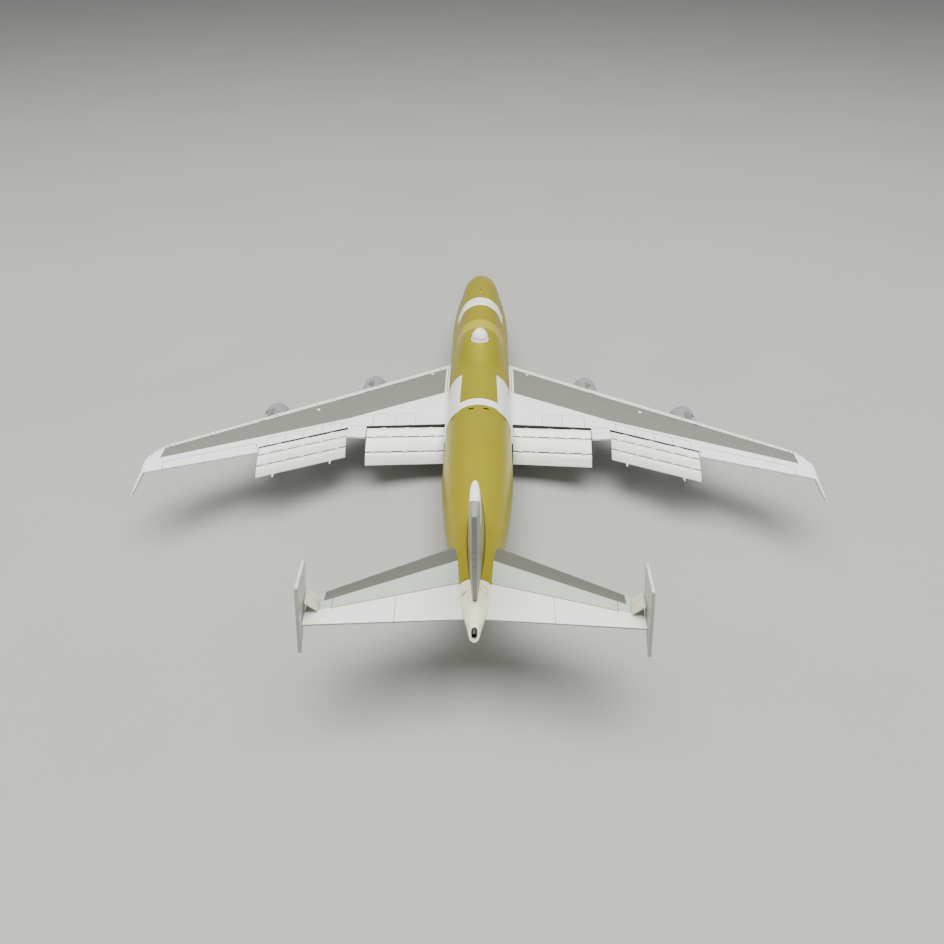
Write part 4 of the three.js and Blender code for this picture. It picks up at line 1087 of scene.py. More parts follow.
blade_rings = [blade_ring(i / 14) for i in range(14)]
for turn in (0, 30, 55, 75, 88):
    out = math.cos(math.radians(turn))
    blade_rings.append(blade_ring(0.93 + 0.07 * math.sin(math.radians(turn)), out, 1.6 * (1 - out)))
tip_blade = loft("tip_blade_right", blade_rings, 45)


def blade_marks(tree, place):
    return [
        (within(tree, place, up=(28, 31.4)), "c9ccc4", 0.35, None, 0),
        (within(tree, place, up=(31.4, 31.6)), "70736c", 0.5, None, 0.1),
    ]


finish(tip_blade, "white_tip_blade", "dfe3dc", 0.34, 0, blade_marks, grime=0.06, coat=0.2)
for hand, piece in (("right", tip_blade), ("left", mirrored(tip_blade, "tip_blade_left"))):
    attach(piece, "airframe")
    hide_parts(f"winglet_{hand}")

# ---------------- tip lamps and static wicks
# Each wing tip carries a small clear lamp at its front corner, and three fine discharge wicks stand
# out of the trailing edge of the aileron. They are glued into drilled holes.


pod_lines = ((0, 0.05), (0.04, 0.55), (0.15, 0.9), (0.4, 1), (0.75, 0.8), (0.94, 0.45), (1, 0.05))


def pod(name, start, end, radius, sides=20):
    """A slim spindle between two points in millimetres."""
    a, b = at(*start), at(*end)
    way = (b - a).normalized()
    side = way.orthogonal().normalized()
    other = way.cross(side)
    rings = []
    for share, width in pod_lines:
        ring = []
        for cosine, sine in circle(sides):
            ring.append(lerp(a, b, share) + (side * cosine + other * sine) * radius * width * MM)
        rings.append(ring)
    return loft(name, rings, 60)


lamp_x = tip_x - 2.6
lamp_station = lead_of(lamp_x) + 1.0
lamp_z = wing_z(lamp_x)
lamp_start = (lamp_x - 1.4, lamp_station - 0.75, lamp_z)
lamp = pod("tip_lamp", lamp_start, (lamp_x + 1.4, lamp_station + 1.9, lamp_z), 0.42)
finish(lamp, "clear_lamp", "cfd8d4", 0.08, 0, None, coat=1.0)
wicks = []
for x in (112, 124, 135):
    trail = by_span(x, *wing_trail)
    wicks.append(pod("wick", (x, trail - 0.6, wing_z(x)), (x + 0.5, trail + 1.5, wing_z(x)), 0.13, 10))
wick = join("wicks_right", wicks)
finish(wick, "dark_wick", "55554e", 0.5, 0.2, None)
for piece in (lamp, mirrored(lamp, "tip_lamp_left"), wick, mirrored(wick, "wicks_left")):
    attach(piece, "airframe")

# ---------------- triple-slotted flaps
# The flaps are shown fully down. Each is a chain of three curved vanes, moulded in white, held
# together by short ribs across the slots, with hinge lugs in front and the tails of the tracks under.

vane_thick = 1.5
vane_slot = 0.6
flap_bridges = 5


def vane(flap, index, chain):
    (aft0, down0), (aft1, down1) = chain[index], chain[index + 1]
    chord = flap["chords"][index]
    droop = math.radians(flap["droops"][index])
    share = (chord - (vane_slot if index < 2 else 0)) / chord
    up = Vector((0, -math.sin(droop), math.cos(droop)))
    rings = []
    x0, x1 = flap["span"]
    ends = [(x0, 0.5), (x0 + 0.08, 0.82), (x0 + 0.25, 1)]
    ends += [(lerp(x0, x1, i / 10), 1) for i in range(1, 10)]
    ends += [(x1 - 0.25, 1), (x1 - 0.08, 0.82), (x1, 0.5)]
    for x, squeeze in ends:
        front, z = front_of(flap, x), wing_z(x)
        lead = at(x, front + aft0, z - down0)
        far = at(x, front + aft1, z - down1)
        trail = lead.lerp(far, share)
        rings.append(foil(lead, trail, up, vane_thick * squeeze, vane_thick / 3 * squeeze, 18))
    return loft("vane", rings, 40)


def flap_chain(flap):
    chain = [(0.3, 0.0)]
    for chord, angle in zip(flap["chords"], flap["droops"]):
        droop = math.radians(angle)
        chain.append((chain[-1][0] + chord * math.cos(droop), chain[-1][1] + chord * math.sin(droop)))
    return chain


# painted shade: the vanes' forward-facing faces, inside the slots, are painted near black
def flap_marks(tree, place):
    return [(facing(tree, 1, 0.5), "2a2a26", 0.7, None, 0)]


flap_whites = {"inboard": "eef2e8", "outboard": "e6ebe2"}
for key, flap in flaps.items():
    chain = flap_chain(flap)
    parts = [vane(flap, i, chain) for i in range(3)]
    x0, x1 = flap["span"]
    for i in range(flap_bridges):
        x = lerp(x0, x1, (i + 0.5) / flap_bridges)
        for k in (0, 1):
            aft, down = chain[k + 1]
            droop = (flap["droops"][k] + flap["droops"][k + 1]) / 2
            station, z = front_of(flap, x) + aft - 0.4, wing_z(x) - down + 0.1
            parts.append(box(x, station, z, 1.5, 2.6, 0.75, (-droop, 0, 0), 0.12))
    for share in (0.2, 0.5, 0.8):
        x = lerp(x0, x1, share)
        z = (wing_face(x, front_of(flap, x)) + wing_face(x, front_of(flap, x), False)) / 2
        parts.append(box(x, front_of(flap, x) + 0.4, z, 3.0, 3.2, 0.8, (0, 0, 0), 0.1))
    for share in flap["fairings"]:
        x = lerp(x0, x1, share)
        front, z = front_of(flap, x), wing_z(x)
        (a1, d1), _, (a3, d3) = chain[1:]
        slope = math.atan2(d3 - d1, a3 - a1)
        over = 1.5 if flap["tracks"] else -0.6
        start = (x, front + a1 - 1, z - d1 - 1.0)
        end = (x, front + a3 + over * math.cos(slope), z - d3 - over * math.sin(slope) - 0.3)
        parts.append(pod("track", start, end, 0.95, 24))
    right = join(f"flap_{key}_vanes_right", parts)
    white = flap_whites[key]
    finish(right, f"white_flap_{key}", white, 0.34, 0, flap_marks, grime=0.05, coat=0.2)
    for hand, piece in (("right", right), ("left", mirrored(right, f"flap_{key}_vanes_left"))):
        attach(piece, "airframe")
        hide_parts(f"flap_{key}_{hand}")

# ---------------- tailplanes
# Two swept tailplanes plug into the sides of the fuselage. The front half of each is grey, then a
# pale band, then the white elevator, whose joint is scribed; the elevator is split at mid-span.

# distance out, nose station, tail station and thickness
tail_root = (2.0, 285.6, 328.9, 5.2)
tail_tip = (58.2, 328.4, 341.6, 2.0)
tail_rise = math.radians(9)
tail_up = Vector((-math.sin(tail_rise), 0, math.cos(tail_rise)))
tail_edge = 0.7
tail_base = 36.9


def tail_z(x):
    return tail_base + math.tan(tail_rise) * (x - tail_root[0])


def tail_ring(x, squeeze=1.0):
    share = (x - tail_root[0]) / (tail_tip[0] - tail_root[0])
    _, lead, trail, thick = [lerp(a, b, share) for a, b in zip(tail_root, tail_tip)]
    start, end = at(x, lead, tail_z(x)), at(x, trail, tail_z(x))
    return foil(start, end, tail_up, thick * squeeze, tail_edge * squeeze)


tail_rings = [tail_ring(lerp(tail_root[0] + 1, tail_tip[0] - 0.3, i / 30)) for i in range(31)]
tail_rings += [tail_ring(tail_tip[0] - 0.1, 0.85), tail_ring(tail_tip[0], 0.6)]
tailplane = loft("tailplane_skin_right", tail_rings, 40)


def tail_marks(tree, place):
    """The grey front half, the white elevator, and the joints scribed round and across it."""
    upper = facing(tree, 2, 0.0)
    spar = ((8.15, 301.7), (50.5, 328.8))
    front = all_of(tree, right_of(tree, place, *spar), within(tree, place, out=(0, 52.5)))
    hinge = strip(tree, place, (5, 312.7), (49.5, 332.8), 0.3)
    elevator = calc(tree, "SUBTRACT", 1.0, right_of(tree, place, (6, 313.3), (48.5, 332.25)))
    tip = within(tree, place, out=(49.4, 49.65), aft=(320, 334))
    split = all_of(tree, elevator, within(tree, place, out=(27.9, 28.1)))
    box_line = strip(tree, place, *spar, 0.22)
    return [
        (all_of(tree, front, upper), "54544c", 0.46, 0.05, 0),
        (all_of(tree, elevator, upper), "dfe5dc", 0.34, None, 0),
        (any_of(tree, hinge, tip, split), "565a54", 0.6, None, 0.2),
        (box_line, "7b7e77", 0.5, None, 0.08),
    ]


finish(tailplane, "pale_tailplane", "aab2a9", 0.36, 0, tail_marks, grime=0.07, coat=0.2)
for hand, piece in (("right", tailplane), ("left", mirrored(tailplane, "tailplane_skin_left"))):
    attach(piece, "airframe")
    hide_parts(f"tailplane_{hand}")

# ---------------- end plates
# Tall tapered plates stand on the ends of the tailplanes, leaning a little inward at the top. They
# are white mouldings with softened edges, three joints scribed across and one near each edge.

plate_low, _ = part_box("endplate_right")
plate_trail = nose_y - plate_low.y / MM
plate_thick = 1.2
plate_lean = math.radians(4)
plate_outline = [(0, 64), (14.6, 64), (13, 50.5), (11, 46.5), (7.6, 42.5), (0.6, 34), (0, 34)]
plate_inner = tail_tip[0] + 0.3
plate_hinge = tail_z(tail_tip[0])


def on_plate(forward, z, out):
    """A point on the leaning plate from its place in the side view and its distance outward."""
    cosine, sine = math.cos(plate_lean), math.sin(plate_lean)
    x = plate_inner + cosine * out - sine * (z - plate_hinge)
    return at(x, plate_trail - forward, plate_hinge + cosine * (z - plate_hinge) + sine * out)


def rounded(outline, radius, steps=4):
    """Rounds the corners of an outline by cutting each with a short arc."""
    made = []
    count = len(outline)
    for i, corner in enumerate(outline):
        here = Vector((*corner, 0))
        before, after = Vector((*outline[i - 1], 0)), Vector((*outline[(i + 1) % count], 0))
        reach = min(radius, (before - here).length * 0.45, (after - here).length * 0.45)
        start = here + (before - here).normalized() * reach
        end = here + (after - here).normalized() * reach
        for k in range(steps + 1):
            t = k / steps
            made.append(start * (1 - t) ** 2 + here * 2 * t * (1 - t) + end * t**2)
    return [(p.x, p.y) for p in made]


plate_edge = rounded(plate_outline, 1.0)
middle = [sum(p[i] for p in plate_edge) / len(plate_edge) for i in (0, 1)]
plate_rings = []
for out, inset in (
    (0, 0.03), (0.0, 0.012), (0.15, 0.0),
    (plate_thick - 0.15, 0.0), (plate_thick, 0.012), (plate_thick, 0.03),
):
    drawn_in = [(lerp(f, middle[0], inset), lerp(z, middle[1], inset)) for f, z in plate_edge]
    plate_rings.append([on_plate(forward, z, out) for forward, z in drawn_in])
end_plate = loft("end_plate_right", plate_rings, 40)


def plate_marks(tree, place):
    front = between(tree, place, (0, 1, 0.118), plate_trail - 4.0, plate_trail - 3.85)
    cross = any_of(tree, *[within(tree, place, up=(z, z + 0.16)) for z in (40.6, 51.5, 61.8)])
    rear = within(tree, place, aft=(plate_trail - 3.4, plate_trail - 3.2))
    scuffed = within(tree, place, aft=(plate_trail - 0.5, plate_trail + 1))
    return [
        (any_of(tree, front, cross, rear), "8e918a", 0.5, None, 0.14),
        (scuffed, "b3b4aa", 0.5, None, 0),
    ]


finish(end_plate, "white_end_plate", "c4c8c1", 0.36, 0, plate_marks, grime=0.07, coat=0.15)
for hand, piece in (("right", end_plate), ("left", mirrored(end_plate, "end_plate_left"))):
    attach(piece, "airframe")
    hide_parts(f"endplate_{hand}")

# ---------------- braces of the end plates
# A flat cream brace runs from the top of each tailplane up to the inside of its end plate. It is
# a moulded strip with a rounded nose, a little thicker near each end, and is glued at both.

brace_low, brace_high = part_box("endplate_brace_right")
brace_front = nose_y - brace_high.y / MM
brace_chord = 7.4
brace_sweep = 1.9
brace_thick = 0.9
brace_way = Vector((brace_high.x - brace_low.x, 0, brace_high.z - brace_low.z)).normalized()
brace_up = Vector((-brace_way.z, 0, brace_way.x))
brace_start = Vector((brace_low.x / MM + 0.45, 0, brace_low.z / MM + 0.35))
brace_end = Vector((brace_high.x / MM - 0.45, 0, brace_high.z / MM - 0.35))
brace_rings = []
for share, squeeze in ((0, 0.7), (0.05, 1), (0.5, 0.9), (0.95, 1), (1, 0.7)):
    point = brace_start.lerp(brace_end, share)
    front = brace_front + brace_sweep * share
    lead, trail = at(point.x, front, point.z), at(point.x, front + brace_chord, point.z)
    brace_rings.append(foil(lead, trail, brace_up, brace_thick * squeeze, brace_thick / 2 * squeeze, 14))
brace = loft("plate_brace_right", brace_rings, 45)


def brace_marks(tree, place):
    seam = within(tree, place, aft=(brace_front + 4.4, brace_front + 4.6))
    return [(seam, "9a9684", 0.5, None, 0.1)]


finish(brace, "cream_brace", "dcd7c4", 0.42, 0, brace_marks, grime=0.1)
for hand, piece in (("right", brace), ("left", mirrored(brace, "plate_brace_left"))):
    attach(piece, "airframe")
    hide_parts(f"endplate_brace_{hand}")

# ---------------- belly fairing
# A shallow gold moulding closes the wing root and the underside of the fuselage. Two screws pull it
# up, a flat round seat with a hole takes a display stand, and two sockets take the body gear legs.

belly_low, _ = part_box("belly_fairing")
belly_front = 92.0
belly_rear = 214.0
belly_half = 16.6
belly_middle = 18.0
belly_foot = 9.4
seat_z = belly_low.z / MM
seat_station = 147.0
seat_radius = 7.0
leg_sockets = (9.5, 174.5, 11)
screw_boxes = [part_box("body_screw_front"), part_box("body_screw_rear")]
screw_stations = [nose_y - (low.y + high.y) / 2 / MM for low, high in screw_boxes]
head_z = screw_boxes[0][0].z / MM
head_radius = screw_boxes[0][1].x / MM

belly_rings = []
belly_steps = 60
for i in range(belly_steps + 1):
    share = (1 - math.cos(math.pi * (0.06 + 0.88 * i / belly_steps))) / 2
    full = max(0, 1 - (2 * share - 1) ** 4) ** 0.5
    wide = belly_half * lerp(0.6, 1, full)
    deep = (belly_middle - belly_foot) * lerp(0.55, 1, full)
    ring = []
    for low, across in circle(96):
        z = belly_middle - low * (deep if low > 0 else 1.2)
        ring.append(at(across * wide, lerp(belly_front, belly_rear, share), z))
    belly_rings.append(ring)
belly = loft("belly_skin", belly_rings, 50)
seat_middle = at(0, seat_station, seat_z)
seat = [
    (0.05, 2.9), (seat_radius, 2.9), (seat_radius, 0.15), (seat_radius - 0.15, 0), (0.05, 0),
]
cut(belly, turned("seat", seat, seat_middle, "z", 72), "UNION", 50)
seat_hole = [(0.05, 3.5), (2.0, 3.5), (2.0, 0.15), (2.2, -0.1), (0.05, -0.1)]
cut(belly, turned("seat_hole", seat_hole, seat_middle, "z", 48), sharp=50)
well_edge = head_radius + 0.25
for station in screw_stations:
    well = [(0.05, 3.4), (1.35, 3.4), (1.35, 1.6), (well_edge, 1.6), (well_edge, -2), (0.05, -2)]
    cut(belly, turned("well", well, at(0, station, head_z), "z", 48), sharp=50)
for side in (-1, 1):
    x, station, z = leg_sockets
    socket = [(0.05, 3.2), (1.6, 3.2), (1.6, -3), (0.05, -3)]
    cut(belly, turned("socket", socket, at(side * x, station, z), "z", 40), sharp=50)


def belly_marks(tree, place):
    """Scribed joints along and across the belly, and the bare ring of the stand's seat."""
    joints = []
    for x, s0, s1 in ((3.2, 152, 166), (13.2, 152, 166), (7.6, 96, 108)):
        joints.append(within(tree, place, out=(x, x + 0.16), aft=(s0, s1)))
    for s in (101, 122, 152, 166, 199):
        joints.append(within(tree, place, aft=(s, s + 0.16)))
    lines = any_of(tree, *joints)
    seat_ends = (seat_station - seat_radius, seat_station + seat_radius)
    seat_ring = within(tree, place, aft=seat_ends, up=(0, seat_z + 0.05))
    return [(lines, "4f4820", 0.5, 0.2, 0.14), (seat_ring, "8c7f3c", 0.5, 0.4, 0)]


finish(belly, "gold_primer_belly", "8a8008", 0.42, 0.3, belly_marks, grime=0.12, flake=0.1, gloss=0.3)
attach(belly, "airframe")
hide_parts("belly_fairing")

# ---------------- body screws
# Two plated cross-head screws run up through the belly moulding into posts inside the fuselage.
# Their pan heads are turned, with a milled cross and a threaded shank.

for key, station in zip(("front", "rear"), screw_stations):
    low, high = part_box(f"body_screw_{key}")
    length = (high.z - low.z) / MM
    shank = [(head_radius, 1.15), (1.1, 1.25)]
    thread = 1.25
    while thread < length - 1.2:
        shank += [(1.1, thread + 0.2), (0.86, thread + 0.4)]
        thread += 0.5
    profile = [(0.05, 0), (head_radius * 0.72, 0.05), (head_radius * 0.93, 0.3), (head_radius, 0.62)]
    profile += shank + [(0.8, length - 0.7), (0.05, length)]
    screw = turned(f"screw_{key}", profile, at(0, station, head_z), "z", 48, 50)
    cross = head_radius * 1.25
    for slot_x, slot_y in ((cross, 0.5), (0.5, cross)):
        cut(screw, box(0, station, head_z, slot_x, slot_y, 1.3, edge=0.1), sharp=50)
    finish(screw, f"plated_screw_{key}", "a7a49a", 0.28, 0.95, None, grime=0.2)
    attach(screw, "airframe")
    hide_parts(f"body_screw_{key}")

# ---------------- engine cowls
# Four open-ended cowls, turned in two shells with a rolled lip. They are sprayed grey inside and
# out, the lip is bare metal, the nozzle's end is duller, and three joints are scribed round them.

cowl_boxes = {number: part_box(f"nacelle_{number}") for number in (1, 2, 3, 4)}
cowl_low, cowl_high = cowl_boxes[3]
cowl_radius = (cowl_high.x - cowl_low.x) / 2 / MM
cowl_length = (cowl_high.y - cowl_low.y) / MM
duct_radius = 5.1
exit_radius = 5.6


def spline(points, steps):
    """A smooth curve through points, by Catmull and Rom's rule."""
    made = []
    padded = [points[0], *points, points[-1]]
    for i in range(1, len(padded) - 2):
        near = list(zip(*padded[i - 1 : i + 3]))
        for k in range(steps):
            t = k / steps
            point = []
            for a, b, c, d in near:
                bend, twist = 2 * a - 5 * b + 4 * c - d, 3 * b - a - 3 * c + d
                point.append(0.5 * (2 * b + (c - a) * t + bend * t * t + twist * t**3))
            made.append(tuple(point))
    made.append(tuple(points[-1]))
    return made


def engine_place(number):
    low, high = cowl_boxes[number]
    return Vector(((low.x + high.x) / 2, high.y, (low.z + high.z) / 2))


cowl_outside = [
    (5.66, -0.05), (6.05, -0.45), (6.4, -1.6), (6.68, -4.5), (cowl_radius, -9),
    (cowl_radius, -13.5), (6.45, -20), (exit_radius, -cowl_length),
]
cowl_inside = [
    (exit_radius - 0.22, -cowl_length), (5.3, -22), (duct_radius, -15), (duct_radius, -5),
    (4.98, -2), (5.05, -0.8), (5.34, -0.15), (5.66, -0.05),
]
outer, inner = spline(cowl_outside, 5), spline(cowl_inside, 5)


def engine_band(tree, start, end):
    """1 between two distances aft of a cowl's lip, for the inner and the outer pair alike."""
    place = placed(tree)
    bands = []
    for number in (3, 4):
        low, high = cowl_boxes[number]
        middle = (low.x + high.x) / 2 / MM
        station = nose_y - high.y / MM
        aft = (station + start - 0.1, station + end)
        bands.append(within(tree, place, out=(middle - 12, middle + 12), aft=aft))
    return any_of(tree, *bands)


def cowl_marks(tree, place):
    joints = [engine_band(tree, *ends) for ends in ((1.5, 1.62), (9.4, 9.55), (17.2, 17.4))]
    return [
        (engine_band(tree, 0, 1.5), "c9c9c4", 0.22, 0.9, 0),
        (any_of(tree, *joints), "5d5f5d", 0.5, 0.1, 0.14),
        (engine_band(tree, 24.6, 29), "87857d", 0.4, 0.3, 0),
    ]


def duplicate(piece, name, shift):
    """A copy moved by a shift, given in metres."""
    return copied(piece, name, lambda: bpy.ops.transform.translate(value=shift))


def at_engine(piece, name, number):
    """The third engine's piece, or a copy of it at another engine."""
    if number == 3:
        return piece
    return duplicate(piece, f"{name}_{number}", engine_place(number) - engine_place(3))


first_cowl = turned("cowl_3", outer + inner[1:], engine_place(3), "y", 96, 45, tube=True)
finish(first_cowl, "grey_cowl", "888c8b", 0.36, 0.1, cowl_marks, grime=0.1, coat=0.2)
for number in (1, 2, 3, 4):
    piece = at_engine(first_cowl, "cowl", number)
    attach(piece, "airframe")
    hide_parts(f"nacelle_{number}")

# ---------------- engine cores
# Behind each fan a dark metal core runs through the cowl on stator vanes and ends in a plain nozzle
# with a pointed plug. The pin that the fan turns on stands out of its front.

core_profile = [
    (0.03, -5.45), (0.55, -5.5), (0.6, -7.4), (2.9, -7.5), (3.2, -9), (3.5, -15.4), (3.75, -22),
    (3.8, -26.6), (3.45, -31), (2.7, -37), (2.55, -37.05), (2.3, -36.9), (2.2, -34.6),
    (1.6, -34.6), (1.6, -37.2), (1.25, -38.4), (0.75, -39.8), (0.3, -40.8), (0.03, -41),
]
core = turned("core_3", core_profile, engine_place(3), "y", 72, 40)
vane_count = 24
vanes = []
for i in range(vane_count):
    turn = Matrix.Rotation(2 * math.pi * i / vane_count, 3, "Y")
    rings = []
    for radius in (3.2, 3.9, 4.6, 4.95):
        ring = []
        for cosine, sine in circle(10):
            aft, thick = 1.5 * cosine, 0.09 * sine
            point = Vector((thick + 0.12 * aft, aft - 11.8, radius))
            point.rotate(turn)
            ring.append(engine_place(3) + point * MM)
        rings.append(ring)
    vanes.append(loft("stator", rings, 40))
core = join("core_3", [core, *vanes])


def core_marks(tree, place):
    return [
        (engine_band(tree, 33.8, 37.2), "4a443c", 0.3, 0.9, 0),
        (engine_band(tree, 37.3, 42), "3a352f", 0.4, 0.8, 0),
        (engine_band(tree, 28.4, 28.6), "2c2a27", 0.6, 0.5, 0.12),
    ]


finish(core, "dark_core", "67635b", 0.36, 0.75, core_marks, grime=0.25)
for number in (1, 2, 3, 4):
    piece = at_engine(core, "core", number)
    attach(piece, "airframe")
    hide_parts(f"exhaust_{number}")

# ---------------- fans
# Each fan turns freely on its pin: a pressed silver disc of twisted blades round a dark rounded
# spinner, which carries one pale stroke so that its turning can be seen.

spinner_radius = 1.68
spinner_profile = [
    (0.03, 3.58), (0.5, 3.3), (1.0, 2.55), (1.4, 1.5), (1.62, 0.6), (spinner_radius, 0.4),
    (spinner_radius, -1.15), (0.92, -1.18), (0.92, 1.0), (0.03, 1.1),
]
fan_low, fan_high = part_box("fan_3")
fan_x = (fan_low.x + fan_high.x) / 2
fan_middle = Vector((fan_x, engine_place(3).y - 6 * MM, engine_place(3).z))
spinner = turned("fan_rotor_3", spinner_profile, fan_middle, "y", 64, 45)
blades = []
blade_count = 22
for i in range(blade_count):
    turn = Matrix.Rotation(2 * math.pi * i / blade_count, 3, "Y")
    rings = []
    for k in range(9):
        share = k / 8
        radius = lerp(1.5, 4.66, share)
        twist = math.radians(lerp(22, 62, share))
        chord = lerp(0.62, 1.0, share) * 0.95
        sweep = 0.18 * math.sin(math.pi * share)
        ring = []
        for cosine, sine in circle(10):
            c, t = chord * cosine, 0.07 * sine * (1.4 - share)
            x = c * math.sin(twist) + t * math.cos(twist) + sweep
            y = c * math.cos(twist) - t * math.sin(twist)
            point = Vector((x, y - 0.2, radius))
            point.rotate(turn)
            ring.append(fan_middle + point * MM)
        rings.append(ring)
    blades.append(loft("blade", rings, 40))
rotor = join("fan_rotor_3", [spinner, *blades])


def fan_marks(tree, place):
    """A dark spinner with one pale stroke, on the inner and the outer pair alike."""
    spinners, strokes = [], []
    reach = spinner_radius + 0.04
    for number in (3, 4):
        x, z = engine_place(number).x / MM, engine_place(number).z / MM
        spinners.append(within(tree, place, out=(x - reach, x + reach), up=(z - reach, z + reach)))
        strokes.append(within(tree, place, out=(x - 0.16, x + 0.16), up=(z + 0.35, z + 1.45)))
    return [
        (any_of(tree, *spinners), "3b3c3c", 0.35, 0.3, 0),
        (any_of(tree, *strokes), "d9d8cf", 0.4, 0, 0),
    ]


finish(rotor, "silver_fan", "8f918f", 0.3, 0.85, fan_marks, grime=0.15)
for number in (1, 2, 3, 4):
    piece = at_engine(rotor, "fan_rotor", number)
    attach(piece, f"engine_fan_{number}")
    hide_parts(f"fan_{number}")

# ---------------- pylons
# A thin pylon joins each cowl and core to the wing above it. It is a grey moulding, lens-shaped
# from nose to tail, with scribed joints on its side and painted shade along its top in front of the
# wing.

pylon_thick = 1.8
for number in (3, 4):
    place_now = engine_place(number)
    x = place_now.x / MM
    inlet = nose_y - place_now.y / MM
    height = place_now.z / MM
    lead = lead_of(x)
    top_z = wing_z(x)
    upper_line = [
        (inlet + 5, height + 5.9), (lead - 6, top_z + 0.4), (lead - 1, top_z + 0.9),
        (lead + 8, top_z - 0.3), (lead + 24, top_z - 1.2),
    ]
    lower_line = [
        (inlet + 5.4, height + 5.5), (inlet + 12, height + 4.9), (inlet + 28, height + 3.0),
        (inlet + 36, height + 2.9), (lead + 24.5, top_z - 1.5),
    ]
    pairs = list(zip(spline(upper_line, 8), spline(lower_line, 8)))
    rings = []
    for k, ((s1, z1), (s0, z0)) in enumerate(pairs):
        share = k / (len(pairs) - 1)
        nose = max(math.sin(math.pi * min(share * 1.6 + 0.04, 1) * 0.5), 0.1)
        half = pylon_thick / 2 * nose * (1 - max(share - 0.45, 0) * 1.5)
        ring = []
        for cosine, sine in circle(24):
            up = (1 + sine) / 2
            wide = math.copysign(abs(cosine) ** 0.5, cosine) * half
            ring.append(at(x + wide, lerp(s0, s1, up), lerp(z0, z1, up)))
        rings.append(ring)
    pylon = loft(f"pylon_skin_{number}", rings, 45)

    def pylon_marks(tree, place, lead=lead, top_z=top_z, inlet=inlet):
        low_edge = 0.3 * lead + top_z - 3.6
        # painted shade: the pylon's upward faces in front of the wing are painted near black
        pylon_top_shade = all_of(tree, facing(tree, 2, 0.45), within(tree, place, aft=(inlet + 4, lead - 2)))
        slope = between(tree, place, (0, 0.3, 1), low_edge, low_edge + 0.15)
        return [
            (within(tree, place, aft=(lead - 1.1, lead - 0.95)), "6d6f6c", 0.5, None, 0.1),
            (pylon_top_shade, "33322d", 0.6, None, 0),
            (slope, "6d6f6c", 0.5, None, 0.1),
        ]

    finish(pylon, f"grey_pylon_{number}", "9da09d", 0.38, 0.05, pylon_marks, grime=0.12, coat=0.1)
    other = 5 - number
    for key, piece in ((number, pylon), (other, mirrored(pylon, f"pylon_skin_{other}"))):
        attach(piece, "airframe")
        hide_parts(f"pylon_{key}")

# ---------------- landing gear wheels
# Each axle is a turned steel pin with a wheel pressed on either end: a grey dished hub with round
# lightening holes, and a black rubber tyre with two grooves round its tread.

wheel_low, wheel_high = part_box("wing_gear_wheels_right_front")
wheel_radius = (wheel_high.z - wheel_low.z) / 2 / MM
wheel_outer = (wheel_high.x - wheel_low.x) / 2 / MM
wheel_inner = wheel_outer - 1.6
hub_edge = 1.9
hub_core = 0.62
hub_holes = 6
hole_circle = 1.18


def wheel_middle(name):
    low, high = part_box(name)
    return (low + high) / 2


def wheelset(name, middle):
    a, b, r = wheel_inner, wheel_outer, wheel_radius
    c = (a + b) / 2
    tyre = [
        (hub_edge, a + 0.12), (2.3, a + 0.02), (2.7, a), (r - 0.22, a + 0.12), (r - 0.03, a + 0.4),
        (r, c - 0.28), (r - 0.12, c - 0.22), (r - 0.12, c - 0.14), (r, c - 0.08),
        (r, c + 0.08), (r - 0.12, c + 0.14), (r - 0.12, c + 0.22), (r, c + 0.28),
        (r - 0.03, b - 0.4), (r - 0.22, b - 0.12), (2.7, b), (2.3, b - 0.02), (hub_edge, b - 0.12),
    ]
    hub = [
        (0.05, b - 0.05), (0.45, b - 0.06), (0.6, b - 0.15), (hub_core, b - 0.3), (1.0, b - 0.42),
        (1.5, b - 0.36), (1.75, b - 0.14), (hub_edge + 0.02, b - 0.1), (hub_edge + 0.02, a + 0.1),
        (1.7, a + 0.14), (1.5, a + 0.3), (0.6, a + 0.3), (0.6, 0),
    ]
    hole = [(0.02, -0.4), (0.2, -0.4), (0.2, 0.5), (0.02, 0.5)]
    parts = []
    for hand in (1, -1):
        ring = turned("tyre", [(radius, hand * x) for radius, x in tyre], middle, "x", 56, 35)
        rim = turned("hub", [(radius, hand * x) for radius, x in hub], middle, "x", 48, 35)
        for cosine, sine in circle(hub_holes):
            off = Vector((hand * (b - 0.3), hole_circle * cosine, hole_circle * sine))
            cut(rim, turned("hole", hole, middle + off * MM, "x", 16), sharp=35)
        parts += [ring, rim]
    return join(name, parts)


def tyre_marks(tree, place, middle):
    """The hub and its core, told from the tyre by their distance from the axle."""
    ds = calc(tree, "SUBTRACT", along(tree, place, (0, 1, 0)), nose_y - middle.y / MM)
    dz = calc(tree, "SUBTRACT", along(tree, place, (0, 0, 1)), middle.z / MM)
    square = calc(tree, "ADD", calc(tree, "MULTIPLY", ds, ds), calc(tree, "MULTIPLY", dz, dz))
    reach = calc(tree, "SQRT", square)
    hub = calc(tree, "LESS_THAN", reach, hub_edge + 0.01)
    core_part = calc(tree, "LESS_THAN", reach, hub_core)
    return [(hub, "a9aba7", 0.4, 0.6, 0), (core_part, "8a8c89", 0.3, 0.8, 0)]


wheel_nodes = [("nose_gear_wheels", "nose_axle")]
for gear in ("wing", "body"):
    for hand in ("left", "right"):
        for end in ("front", "rear"):
            wheel_nodes.append((f"{gear}_gear_wheels_{hand}_{end}", f"{gear}_axle_{hand}_{end}"))
first_middle = wheel_middle("nose_gear_wheels")
first_wheels = wheelset("wheelset_1", first_middle)
for i, (cad_node, body) in enumerate(wheel_nodes, 1):
    middle = wheel_middle(cad_node)
    piece = first_wheels
    if i > 1:
        piece = duplicate(first_wheels, f"wheelset_{i}", middle - first_middle)

    def wheel_marks(tree, place, middle=middle):
        return tyre_marks(tree, place, middle)

    finish(piece, f"rubber_and_hub_{i}", "242321", 0.82, 0, wheel_marks, grime=0.2, peel=0.02)
    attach(piece, body)
    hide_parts(cad_node)

